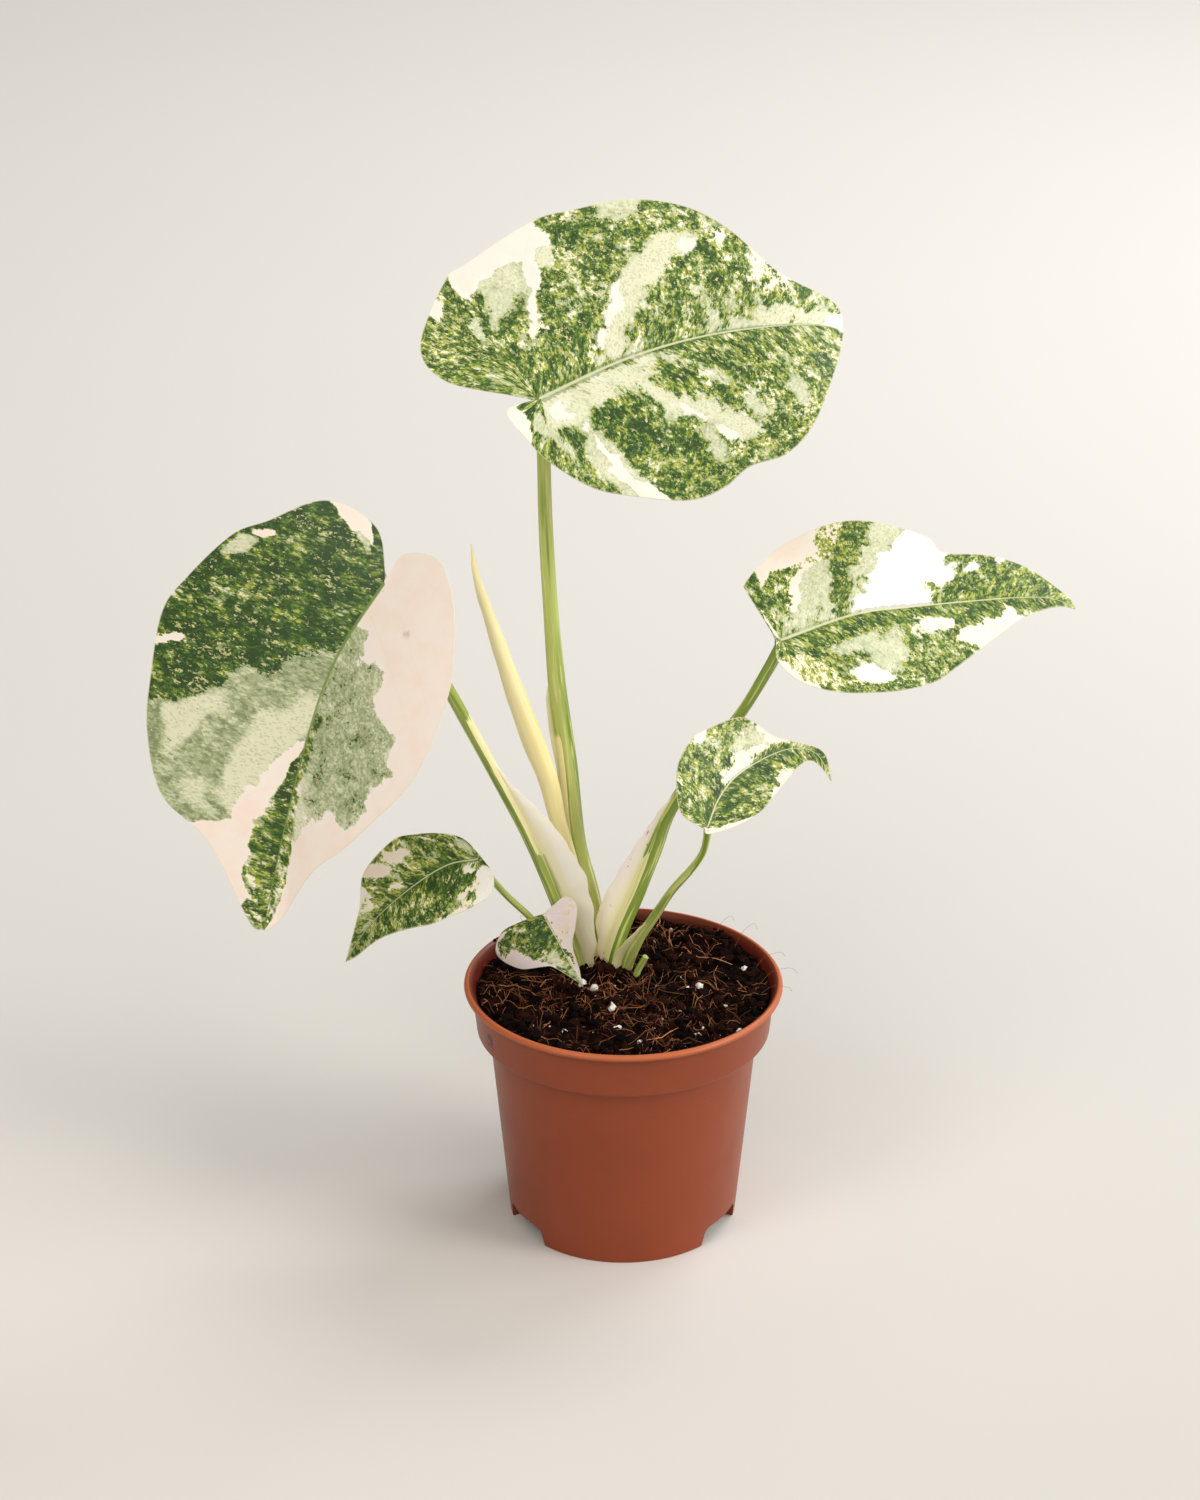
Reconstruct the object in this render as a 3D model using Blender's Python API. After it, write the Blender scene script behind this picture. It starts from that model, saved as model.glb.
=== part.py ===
"""Young variegated monstera growing in a terracotta-coloured plastic nursery pot.

Sizes are given in millimetres and turned into metres where points are made. The pot's axis is
the plant's own Z axis, with the floor at Z = 0; every piece hangs on one empty, which moves the
plant sideways so that the middle of its outline stands over the origin.
"""
import math

import bmesh
import bpy
from mathutils import Vector

MM = 0.001

# Clearance between pieces that touch
GAP = 0.3

# Where the pot's axis stands, so that the plant's box is centred over the origin
PLANT_SHIFT = (2.1, -13.1)

# Pot
POT_HEIGHT = 98.0
LIP_RADIUS = 60.0
BAND_TOP_RADIUS = 57.0
BAND_FOOT_RADIUS = 55.4
BAND_FOOT_HEIGHT = 78.2
BODY_TOP_RADIUS = 50.5
FOOT_RADIUS = 43.4
WALL = 1.3
FOOT_WALL = 2.2
FLOOR_UNDERSIDE = 4.2
FLOOR_THICKNESS = 1.5
POT_STEPS = 60
NOTCH_HEIGHT = 7.6
NOTCH_ANGLES = (90.0, 210.0, 330.0)
NOTCH_HALF_WIDTH = 13.0
DRAIN_COUNT = 6
DRAIN_RADIUS = 4.0
DRAIN_CIRCLE = 30.0

# Soil
SOIL_LEVEL = 94.3
SOIL_SLOPE = 0.024
CROWN = (-5.0, 12.0)
CROWN_RISE = 2.4
CROWN_SPREAD = 15.0
SOIL_ROUGHNESS = 0.55
SOIL_STEPS = 48
SOIL_RINGS = 11
STEM_FOOT = 86.0
HOLE_TOP = 104.0
HOLE_SECTIONS = 4

# Leaf blades
BLADE = 0.8
RIB_DEPTH = 1.0
KNUCKLE = 3.0
VEIN_START = 0.35
VEIN_SWEEP = 0.14
ACROSS = (0.0, 0.07, 0.32, 0.58, 0.82, 1.0)

# Each blade lies over a plane through its joint with the stalk. "faces" is the compass turn
# and the tilt of that plane's normal in degrees (0, 0 looks along -Y), "heading" is how far
# the midrib is turned within the plane. Outlines run from the notch at the stalk round a back
# lobe to the tip, as distances along and across the plane, to the left (+) and right (-) of
# the midrib's direction.
LEAVES = {
    "leaf_top": dict(
        joint=(-30.0, 18.0, 321.5), faces=(0.0, 54.0), heading=14.7, length=112.0, bow=12.0,
        fold=(3.0, 3.0), roll=(0.0, 0.05), arch=0.04, sag=0.0, tip_drop=3.0, tip_from=0.8,
        wave=(1.5, 3, 200.0, 65.0), rows=24,
        midrib=[(0, 0), (33, 9), (68, 13), (107, 10.5), (115, 7)],
        left=[(-2, 0), (-12, 5), (-31, 16), (-36, 33), (-21, 58), (-12, 63), (16, 74),
              (32, 75), (52, 75), (71, 69), (85, 57), (99, 35), (116, 21), (115, 7)],
        right=[(-2, 0), (-13, -3), (-9, -17), (-4, -28), (8, -42), (22, -49), (40, -55),
               (53, -53), (64, -47), (78, -45), (90, -36), (101, -20), (110, -4), (115, 7)],
        colour=(0.30, 0.40, 0.17)),
    "leaf_left": dict(
        joint=(-85.5, -10.0, 262.0), faces=(-29.0, 28.0), heading=-96.9, length=130.0, bow=-11.0,
        fold=(15.0, 9.0), roll=(0.25, 0.05), arch=0.1, sag=0.15, tip_drop=0.0, tip_from=0.8,
        wave=(1.0, 3, 180.0, 60.0), rows=24,
        midrib=[(0, 0), (31, -9), (62, -11), (110, -10), (133, -9)],
        left=[(-2, 0), (-12, 4), (-14, 20), (0, 33), (19, 41), (32, 43), (49, 42), (65, 37),
              (79, 28), (94, 17), (106, 6), (129, -5), (133, -9)],
        right=[(-2, 0), (-18, -10), (-21, -31), (-7, -50), (2, -62), (22, -75), (37, -81),
               (61, -78), (80, -73), (100, -60), (110, -37), (132, -15), (133, -9)],
        colour=(0.32, 0.40, 0.22)),
    "leaf_right": dict(
        joint=(58.0, 26.0, 225.0), faces=(5.0, 54.0), heading=4.7, length=112.0, bow=10.0,
        fold=(6.0, 6.0), roll=(0.1, 0.1), arch=0.08, sag=0.1, tip_drop=4.0, tip_from=0.75,
        wave=(1.0, 4, 90.0, 40.0), rows=24,
        midrib=[(0, 0), (27, 8), (50, 10), (97, 11), (107, 10.5), (115, 7)],
        left=[(-2, 0), (-9, 21), (-9, 26), (2, 37), (14, 43), (30, 47), (45, 46), (63, 40),
              (68, 33), (84, 31), (99, 25), (113, 12), (115, 7)],
        right=[(-2, 0), (-3, -9), (4, -19), (17, -25), (29, -27), (40, -27), (53, -24),
               (63, -18), (72, -12), (81, -6), (94, 2.5), (107, 7), (115, 7)],
        colour=(0.42, 0.48, 0.28)),
    "leaf_small_right": dict(
        joint=(30.5, -14.0, 168.5), faces=(22.0, 30.0), heading=27.3, length=49.7, bow=7.0,
        fold=(8.0, 12.0), roll=(0.3, 0.3), arch=0.15, sag=0.3, tip_drop=0.0, tip_from=0.8,
        wave=(0.0, 3, 0.0, 22.0), rows=16,
        midrib=[(0, 0), (10.5, 5.5), (23.5, 7.5), (43, 3.5), (52.5, -4.5), (50.5, -16.5)],
        left=[(-1.5, 0), (-5.5, 10.5), (3, 23.5), (14, 28.5), (22, 28), (36.5, 23),
              (42.5, 10.5), (47, 5), (55.5, -6), (50.5, -16.5)],
        right=[(-1.5, 0), (-1.5, -2.5), (9, -6.5), (20, -8), (26, -7), (34.5, -5.5), (43, -4.5),
               (48.5, -5.5), (50.5, -9), (50.5, -16.5)],
        colour=(0.32, 0.42, 0.18)),
    "leaf_small_left": dict(
        joint=(-54.5, 10.0, 143.5), faces=(-15.0, 48.0), heading=-131.6, length=62.6, bow=-9.0,
        fold=(8.0, 8.0), roll=(0.3, 0.3), arch=0.3, sag=0.3, tip_drop=0.0, tip_from=0.8,
        wave=(0.0, 3, 0.0, 22.0), rows=14,
        midrib=[(0, 0), (11, -6), (29, -8.5), (47, -8.5), (62, -5)],
        left=[(-1.5, 0), (-0.5, 9.5), (5, 15.5), (14, 14.5), (22.5, 11.5), (29, 9), (36.5, 4),
              (47, -1.5), (58, -3.5), (62, -5)],
        right=[(-1.5, 0), (-0.5, -10), (5.5, -18), (13, -24), (19.5, -27.5), (31, -27),
               (38, -24.5), (45, -17), (53, -11), (62, -5)],
        colour=(0.30, 0.42, 0.20)),
    "leaf_front": dict(
        joint=(-29.5, 4.0, 122.0), faces=(-20.0, 25.0), heading=-51.6, length=28.7, bow=0.0,
        fold=(25.0, 4.0), roll=(0.5, 1.5), arch=0.3, sag=0.3, tip_drop=0.0, tip_from=0.8,
        wave=(0.0, 3, 0.0, 15.0), rows=12,
        midrib=[(0, 0), (12, 0), (28.5, -0.5)],
        left=[(-1.5, 0), (-2, 6), (-2, 12), (3, 14.5), (9.5, 9.5), (14.5, 4.5), (23, 2),
              (28.5, -0.5)],
        right=[(-1.5, 0), (-3.5, -10.5), (-4, -19.5), (1.5, -26.5), (11, -20), (15.5, -10.5),
               (18, -6.5), (28.5, -0.5)],
        colour=(0.42, 0.50, 0.30)),
}

# Each stem follows a smooth curve through "path". "radius" and "wing" are (height, size)
# pairs; the wing is the thin cream sheath at one side of a leaf stalk's foot, "turn" is where
# it leaves the stalk, from the right (0) towards the front (90), and "curl" how far it bends.
STEMS = {
    "stem_top": dict(
        path=[(-7.6, 24.3, STEM_FOOT), (-9, 24, 99), (-12, 23.5, 120.5), (-18, 23, 145),
              (-21, 22, 178.5), (-24.5, 21, 207.5), (-27, 20, 243.5), (-28.5, 19.5, 275),
              (-29, 18.5, 302), (-30, 18, 321.5)],
        radius=[(86, 3.0), (110, 3.3), (145, 3.8), (190, 3.5), (250, 2.7), (300, 2.45), (322, 2.6)],
        wing=[(150, 0.0), (172, 1.2), (190, 2.0), (205, 1.6), (212, 0.0)],
        turn=170.0, curl=0.0, sections=22, leaf="leaf_top", colour=(0.22, 0.37, 0.09)),
    "stem_left": dict(
        path=[(-13.0, 13.5, STEM_FOOT), (-16.5, 12.7, 98), (-25.5, 9.5, 126.5), (-34.7, 6, 153),
              (-46.1, 2.5, 179.5), (-57.5, -1.5, 205), (-67, -4.5, 225.5), (-76, -7, 242),
              (-82, -8.5, 253), (-85.5, -10, 262)],
        radius=[(86, 2.2), (150, 2.3), (200, 2.3), (240, 2.0), (262, 2.1)],
        wing=[(86, 2.5), (97, 3.8), (108, 8.0), (122, 11.5), (135, 13.0), (147, 11.5),
              (156, 9.5), (164, 7.0), (171, 4.0), (178, 1.6), (192, 0.0)],
        turn=25.0, curl=-40.0, sections=24, leaf="leaf_left", colour=(0.24, 0.38, 0.10)),
    "stem_right": dict(
        path=[(-6.5, 13.5, STEM_FOOT), (-5, 14, 97), (-1, 15, 111), (5.5, 16.5, 127),
              (11.5, 18, 143), (17.5, 19.5, 159), (29, 21, 178), (43, 23, 196.5),
              (53, 25, 213.5), (58.5, 26, 224.5)],
        radius=[(86, 2.7), (105, 3.2), (140, 2.9), (160, 2.4), (200, 2.0), (225, 2.2)],
        wing=[(86, 0.8), (97, 1.2), (104, 4.0), (113, 8.0), (122, 8.5), (131, 7.5), (141, 5.5),
              (149, 3.5), (156, 2.0), (165, 0.0)],
        turn=165.0, curl=35.0, sections=22, leaf="leaf_right", colour=(0.22, 0.38, 0.09)),
    "stem_small_right": dict(
        path=[(-1, 10.3, STEM_FOOT), (2, 8.5, 101.5), (6, 5, 112.5), (11.5, 1.5, 123.5),
              (18, -3.5, 137), (24.5, -7, 147), (28.5, -9.5, 154.5), (30, -11.5, 161),
              (30.5, -14, 168.5)],
        radius=[(86, 1.9), (104, 2.3), (115, 1.9), (140, 1.5), (155, 1.3), (168, 1.4)],
        wing=[(86, 1.5), (92, 2.5), (98, 4.2), (104, 4.4), (110, 3.2), (116, 1.5), (122, 0.0)],
        turn=165.0, curl=0.0, sections=20, leaf="leaf_small_right", colour=(0.22, 0.38, 0.10)),
    "stem_small_left": dict(
        path=[(-20.0, 14.6, STEM_FOOT), (-23.5, 14.5, 97), (-28.5, 13.5, 108.5),
              (-35.5, 12.5, 118), (-42.7, 11.5, 126), (-48.7, 11, 133.5), (-52, 10.5, 139),
              (-54.5, 10, 143.5)],
        radius=[(86, 1.5), (110, 1.35), (130, 1.25), (143, 1.4)],
        wing=None, turn=0.0, curl=0.0, sections=14, leaf="leaf_small_left",
        colour=(0.20, 0.36, 0.10)),
    "stem_front": dict(
        path=[(-17.0, 7.0, STEM_FOOT), (-20, 8.5, 98.5), (-24, 7.5, 106.5), (-27, 5.5, 114),
              (-29.5, 4, 122)],
        radius=[(86, 1.4), (110, 1.3), (122, 1.1)],
        wing=None, turn=0.0, curl=0.0, sections=10, leaf="leaf_front",
        colour=(0.40, 0.48, 0.24)),
    "new_leaf": dict(
        path=[(-9.5, 18.8, STEM_FOOT), (-12, 19, 102), (-15, 18, 116), (-20, 16.5, 139.5),
              (-24.5, 16, 156.5), (-28, 15, 173.5), (-33.5, 14, 190), (-41.5, 13, 215),
              (-48.5, 11.5, 239), (-53, 10.5, 255), (-55, 10, 269)],
        radius=[(86, 2.2), (120, 2.5), (150, 3.0), (175, 3.8), (190, 4.3), (205, 3.9),
                (225, 3.0), (245, 2.1), (258, 1.3), (269, 0.35)],
        wing=None, turn=0.0, curl=0.0, sections=22, leaf=None, colour=(0.80, 0.72, 0.40)),
    "cut_stub": dict(
        path=[(2.5, 5.8, STEM_FOOT), (4.9, 5.3, 97), (8.4, 4.6, 105)],
        radius=[(86, 1.5), (105, 1.2)],
        wing=None, turn=0.0, curl=0.0, sections=5, leaf=None, colour=(0.25, 0.34, 0.10)),
}
STEM_SIDES = 8
WING_STEPS = 3
WING_THICKNESS = 0.8


def clear_scene():
    for obj in list(bpy.data.objects):
        bpy.data.objects.remove(obj, do_unlink=True)


def make_material(name, colour, roughness):
    mat = bpy.data.materials.new(name)
    mat.use_nodes = True
    shader = mat.node_tree.nodes["Principled BSDF"]
    shader.inputs["Base Color"].default_value = (*colour, 1.0)
    shader.inputs["Roughness"].default_value = roughness
    shader.inputs["Metallic"].default_value = 0.0
    mat.diffuse_color = (*colour, 1.0)
    return mat


def make_object(name, bm, colour, roughness, parent, sharp=35.0):
    """A named object from a bmesh, with outward faces, its own material and smooth shading."""
    bmesh.ops.recalc_face_normals(bm, faces=bm.faces[:])
    mesh = bpy.data.meshes.new(name)
    bm.to_mesh(mesh)
    bm.free()
    mesh.shade_smooth()
    mesh.set_sharp_from_angle(angle=math.radians(sharp))
    obj = bpy.data.objects.new(name, mesh)
    bpy.context.scene.collection.objects.link(obj)
    obj.data.materials.append(make_material(name, colour, roughness))
    obj.parent = parent
    return obj


def make_cutter(name, bm, target, parent):
    """A hidden solid, cut out of the target."""
    bmesh.ops.recalc_face_normals(bm, faces=bm.faces[:])
    mesh = bpy.data.meshes.new(name)
    bm.to_mesh(mesh)
    bm.free()
    cutter = bpy.data.objects.new(name, mesh)
    bpy.context.scene.collection.objects.link(cutter)
    cutter.parent = parent
    cutter.hide_render = True
    cutter.display_type = 'WIRE'
    cut = target.modifiers.new(name, 'BOOLEAN')
    cut.operation = 'DIFFERENCE'
    cut.object = cutter
    return cutter


def smooth_curve(points, per_span=8):
    """Points along a smooth curve through the given points, ends included."""
    knots = [Vector(p) for p in points]
    knots = [2 * knots[0] - knots[1], *knots, 2 * knots[-1] - knots[-2]]
    curve = []
    for before, start, end, after in zip(knots, knots[1:], knots[2:], knots[3:]):
        for step in range(per_span):
            t = step / per_span
            curve.append(0.5 * (2 * start + (end - before) * t
                                + (2 * before - 5 * start + 4 * end - after) * t ** 2
                                + (3 * start - before - 3 * end + after) * t ** 3))
    curve.append(knots[-2])
    return curve


def evenly(curve, count):
    """count + 1 points at even distances along a curve."""
    lengths = [0.0]
    for a, b in zip(curve, curve[1:]):
        lengths.append(lengths[-1] + (b - a).length)
    points, span = [], 0
    for i in range(count + 1):
        want = lengths[-1] * i / count
        while span < len(curve) - 2 and lengths[span + 1] < want:
            span += 1
        t = (want - lengths[span]) / max(lengths[span + 1] - lengths[span], 1e-9)
        points.append(curve[span].lerp(curve[span + 1], min(max(t, 0.0), 1.0)))
    return points


def read_table(table, height):
    """The size at a height, from (height, size) pairs in rising order, eased between them."""
    if height <= table[0][0]:
        return table[0][1]
    for (low, a), (high, b) in zip(table, table[1:]):
        if height <= high:
            t = (height - low) / (high - low)
            return a + (b - a) * t * t * (3 - 2 * t)
    return table[-1][1]


def blade_axes(leaf):
    """The midrib's direction, the direction to its left and the normal of a blade's plane."""
    turn, tilt = (math.radians(v) for v in leaf["faces"])
    normal = Vector((math.sin(turn) * math.cos(tilt), -math.cos(turn) * math.cos(tilt),
                     math.sin(tilt)))
    level = Vector((0, 0, 1)).cross(normal).normalized()
    upward = normal.cross(level)
    head = math.radians(leaf["heading"])
    along = math.cos(head) * level + math.sin(head) * upward
    return along, normal.cross(along), normal


def blade_height(leaf, a, c):
    """How far the blade stands over its plane: fold, roll, arch, drooping ends and waves."""
    u = min(max(a / leaf["length"], 0.0), 1.0)
    off = c - 4 * leaf["bow"] * u * (1 - u)
    side = 0 if off > 0 else 1
    height = math.tan(math.radians(leaf["fold"][side])) * (math.hypot(off, 2.0) - 2.0)
    height -= leaf["roll"][side] * off * off / 100
    height -= (leaf["arch"] if a > 0 else leaf["sag"]) * a * a / 100
    beyond = a / leaf["length"] - leaf["tip_from"]
    if beyond > 0:
        height -= leaf["tip_drop"] * (beyond / (1 - leaf["tip_from"])) ** 2
    size, count, phase, reach = leaf["wave"]
    around = math.atan2(c, a - 0.3 * leaf["length"])
    out = math.hypot(c, a - 0.3 * leaf["length"]) / reach
    return height + size * out * out * math.sin(count * around + math.radians(phase))


def blade_point(leaf, a, c):
    along, left, normal = blade_axes(leaf)
    return Vector(leaf["joint"]) + a * along + c * left + blade_height(leaf, a, c) * normal


def half_blade(leaf, outline, rows):
    """Rows of (along, across) points, each from the midrib to the margin along a side vein.

    The first veins all start at the joint and fill the back lobe; the others leave the midrib
    one after the other and sweep forward to the margin.
    """
    rim = evenly(smooth_curve(outline), rows)
    rib = evenly(smooth_curve(leaf["midrib"]), 100)
    half = []
    for i, margin in enumerate(rim):
        s = i / rows
        k = round(100 * max(0.0, (s - VEIN_START) / (1 - VEIN_START)))
        start = rib[k]
        forward = (rib[min(k + 1, 100)] - rib[max(k - 1, 0)]).normalized()
        chord = margin - start
        ease = max(0.0, min(1.0, (s - 0.2) / 0.3))
        sweep = VEIN_SWEEP * ease * ease * (3 - 2 * ease) * chord.length
        bend = start + 0.5 * chord - sweep * forward
        half.append([start * (1 - t) ** 2 + bend * (2 * t * (1 - t)) + margin * t ** 2
                     for t in ACROSS])
    return half


def make_leaf(name, leaf, parent):
    """A waved blade of even thickness. Underneath, the midrib stands out, and so does the
    knuckle where the veins meet over the stalk."""
    left = half_blade(leaf, leaf["left"], leaf["rows"])
    right = half_blade(leaf, leaf["right"], leaf["rows"])
    bm = bmesh.new()
    depth = bm.verts.layers.float.new("depth")
    grid = []
    for i, (row_left, row_right) in enumerate(zip(left, right)):
        row = []
        for j, point in enumerate(row_right[:0:-1] + row_left):
            vert = bm.verts.new(blade_point(leaf, point.x, point.y) * MM)
            rib = (1.0 - i / leaf["rows"]) ** 0.7 if j == len(ACROSS) - 1 else 0.0
            knuckle = min(1.0, max(0.0, 1.6 - point.length / KNUCKLE))
            vert[depth] = BLADE + RIB_DEPTH * max(rib, knuckle)
            row.append(vert)
        grid.append(row)
    for row, following in zip(grid, grid[1:]):
        for k in range(len(row) - 1):
            bm.faces.new((row[k], row[k + 1], following[k + 1], following[k]))
    bmesh.ops.remove_doubles(bm, verts=bm.verts[:], dist=0.02 * MM)
    bmesh.ops.triangulate(bm, faces=bm.faces[:], quad_method='SHORT_EDGE')
    normal = blade_axes(leaf)[2]
    lower = bmesh.ops.extrude_face_region(bm, geom=bm.faces[:], use_keep_orig=True)["geom"]
    for vert in [g for g in lower if isinstance(g, bmesh.types.BMVert)]:
        vert.co -= normal * (vert[depth] * MM)
    make_object(name, bm, leaf["colour"], 0.42, parent, sharp=60.0)


def stem_section(stem, centre, tangent, radius, wing, grow):
    """One closed ring round a stem: a circle, with a thin curled wing let into it."""
    right = (Vector((1, 0, 0)) - tangent * tangent.x).normalized()
    front = right.cross(tangent)

    def spot(degrees, distance, start=Vector((0, 0, 0))):
        angle = math.radians(degrees)
        return start + distance * (math.cos(angle) * right + math.sin(angle) * front)

    radius += grow
    if stem["wing"] is None:
        count = STEM_SIDES + 2
        return [centre + spot(360 * k / count, radius) for k in range(count)]
    half_gap = 24.0
    turn, curl = stem["turn"], stem["curl"]
    ring = [spot(turn + half_gap + (360 - 2 * half_gap) * k / (STEM_SIDES - 1), radius)
            for k in range(STEM_SIDES)]
    reach = wing + grow
    shown = min(1.0, max(0.0, wing / 1.5))
    at, way = spot(turn, 0.9 * radius), turn
    lower, upper = [], []
    for step in range(1, WING_STEPS + 1):
        at = spot(way, reach / WING_STEPS, at)
        way += curl / WING_STEPS
        thick = (WING_THICKNESS / 2 + grow) * (1.0 if step < WING_STEPS else 0.8)
        share = half_gap * (1 - step / (WING_STEPS + 0.7))
        lower.append(spot(turn - share, radius).lerp(spot(way - 90, thick, at), shown))
        upper.append(spot(turn + share, radius).lerp(spot(way + 90, thick, at), shown))
    return [centre + p for p in ring + lower + upper[::-1]]


def stem_bmesh(stem, sections, grow=0.0, top=None):
    """A stem swept along its path; its upper end is cut parallel to the leaf that it holds."""
    curve = smooth_curve(stem["path"])
    if top is not None:
        curve = [p for p in curve if p.z <= top]
    centres = evenly(curve, sections)
    bm = bmesh.new()
    rings = []
    for i, centre in enumerate(centres):
        before, after = centres[max(i - 1, 0)], centres[min(i + 1, len(centres) - 1)]
        tangent = (after - before).normalized()
        radius = read_table(stem["radius"], centre.z)
        wing = read_table(stem["wing"], centre.z) if stem["wing"] else 0.0
        ring = stem_section(stem, centre, tangent, radius, wing, grow)
        if i == 0:
            ring = [Vector((p.x, p.y, STEM_FOOT - grow)) for p in ring]
        if i == len(centres) - 1 and stem["leaf"] and top is None:
            leaf = LEAVES[stem["leaf"]]
            normal = blade_axes(leaf)[2]
            seat = blade_point(leaf, 0.0, 0.0) - normal * (BLADE + RIB_DEPTH + GAP)
            ring = [seat + (p - centre) - tangent * ((p - centre).dot(normal)
                                                     / tangent.dot(normal)) for p in ring]
        rings.append([bm.verts.new(p * MM) for p in ring])
    for ring, following in zip(rings, rings[1:]):
        for k in range(len(ring)):
            following_k = (k + 1) % len(ring)
            bm.faces.new((ring[k], ring[following_k], following[following_k], following[k]))
    ends = [bm.faces.new(rings[0]), bm.faces.new(rings[-1])]
    bmesh.ops.triangulate(bm, faces=ends, ngon_method='EAR_CLIP')
    return bm


def turned(profile, steps):
    """A solid of revolution about Z from a closed profile of (radius, height) points."""
    bm = bmesh.new()
    verts = [bm.verts.new((r * MM, 0, z * MM)) for r, z in profile]
    edges = [bm.edges.new((a, b)) for a, b in zip(verts, verts[1:] + verts[:1])
             if a.co.x > 0 or b.co.x > 0]
    bmesh.ops.spin(bm, geom=edges, cent=(0, 0, 0), axis=(0, 0, 1), angle=2 * math.pi,
                   steps=steps, use_merge=True, use_duplicate=False)
    bmesh.ops.remove_doubles(bm, verts=bm.verts[:], dist=0.01 * MM)
    return bm


def body_inner_radius(z):
    """Inner radius of the pot's wall at a height."""
    if z < BAND_FOOT_HEIGHT:
        slope = (BODY_TOP_RADIUS - FOOT_RADIUS) / BAND_FOOT_HEIGHT
        return FOOT_RADIUS + slope * z - WALL
    slope = (BAND_TOP_RADIUS - BAND_FOOT_RADIUS) / (POT_HEIGHT - BAND_FOOT_HEIGHT)
    return BAND_FOOT_RADIUS + slope * (z - BAND_FOOT_HEIGHT) - WALL


def make_pot(parent):
    floor_top = FLOOR_UNDERSIDE + FLOOR_THICKNESS
    step = BAND_FOOT_HEIGHT
    profile = [
        (FOOT_RADIUS - FOOT_WALL, 0), (FOOT_RADIUS - 0.4, 0), (FOOT_RADIUS, 0.5),
        (BODY_TOP_RADIUS, step - 2.2), (BODY_TOP_RADIUS + 0.7, step - 0.7),
        (BODY_TOP_RADIUS + 2.2, step), (BAND_FOOT_RADIUS - 1.2, step + 0.4),
        (BAND_FOOT_RADIUS, step + 1.6), (BAND_TOP_RADIUS, POT_HEIGHT - 3.4),
        (LIP_RADIUS - 0.9, POT_HEIGHT - 2.7), (LIP_RADIUS, POT_HEIGHT - 1.6),
        (LIP_RADIUS - 0.4, POT_HEIGHT - 0.5), (LIP_RADIUS - 1.4, POT_HEIGHT),
        (LIP_RADIUS - 2.5, POT_HEIGHT - 0.5), (LIP_RADIUS - 3.4, POT_HEIGHT - 1.9),
        (body_inner_radius(POT_HEIGHT - 5), POT_HEIGHT - 5),
        (body_inner_radius(step + 2.4), step + 2.4), (BAND_FOOT_RADIUS - 3.0, step + 1.6),
        (BODY_TOP_RADIUS, step + 1.2), (BODY_TOP_RADIUS - 1.1, step),
        (body_inner_radius(step - 2.4), step - 2.4),
        (body_inner_radius(floor_top + 1.5), floor_top + 1.5),
        (body_inner_radius(floor_top) - 1.4, floor_top), (0, floor_top), (0, FLOOR_UNDERSIDE),
        (FOOT_RADIUS - FOOT_WALL - 0.3, FLOOR_UNDERSIDE)]
    pot = make_object("pot", turned(profile, POT_STEPS), (0.35, 0.10, 0.045), 0.4, parent)
    for angle in NOTCH_ANGLES:
        middle = math.radians(angle)
        outward = Vector((math.cos(middle), math.sin(middle), 0))
        sideways = Vector((-outward.y, outward.x, 0))
        bm = bmesh.new()
        shape = [(-NOTCH_HALF_WIDTH, -2.0), (NOTCH_HALF_WIDTH, -2.0)]
        for k in range(5):
            bend = math.radians(90 * k / 4)
            shape.append((NOTCH_HALF_WIDTH - 4.5 + 3.2 * math.cos(bend),
                          NOTCH_HEIGHT - 3.2 + 3.2 * math.sin(bend)))
        shape += [(-x, z) for x, z in shape[:1:-1]]
        near = [bm.verts.new((outward * 36 + sideways * x + Vector((0, 0, z))) * MM)
                for x, z in shape]
        face = bm.faces.new(near)
        moved = bmesh.ops.extrude_face_region(bm, geom=[face])["geom"]
        for vert in [g for g in moved if isinstance(g, bmesh.types.BMVert)]:
            vert.co += outward * (14 * MM)
        make_cutter(f"notch_cutter_{angle:.0f}", bm, pot, parent)
    for k in range(DRAIN_COUNT):
        angle = 2 * math.pi * k / DRAIN_COUNT
        bm = bmesh.new()
        bmesh.ops.create_cone(bm, cap_ends=True, segments=16, radius1=DRAIN_RADIUS * MM,
                              radius2=DRAIN_RADIUS * MM, depth=4 * MM)
        at = Vector((DRAIN_CIRCLE * math.cos(angle), DRAIN_CIRCLE * math.sin(angle),
                     FLOOR_UNDERSIDE + 0.7)) * MM
        bmesh.ops.translate(bm, verts=bm.verts[:], vec=at)
        make_cutter(f"drain_cutter_{k}", bm, pot, parent)


def soil_height(x, y):
    """Height of the uneven soil, with the mound that the stalks grow out of."""
    out = math.hypot(x, y)
    mound = math.hypot(x - CROWN[0], y - CROWN[1]) / CROWN_SPREAD
    height = SOIL_LEVEL + CROWN_RISE * math.exp(-0.5 * mound * mound)
    height += SOIL_SLOPE * y + 0.3 * SOIL_SLOPE * x + 0.5 * math.sin(0.085 * y - 0.06 * x)
    lumps = (math.sin(0.31 * x + 0.17 * y) * math.sin(0.27 * y - 0.13 * x + 1.3)
             + 0.7 * math.sin(0.47 * x - 0.38 * y + 2.0) * math.sin(0.52 * y + 0.29 * x)
             + 0.5 * math.sin(0.83 * x + 0.4) * math.sin(0.78 * y + 0.9))
    height += 1.6 * SOIL_ROUGHNESS * lumps * min(1.0, (56.0 - out) / 6.0)
    return height


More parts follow.
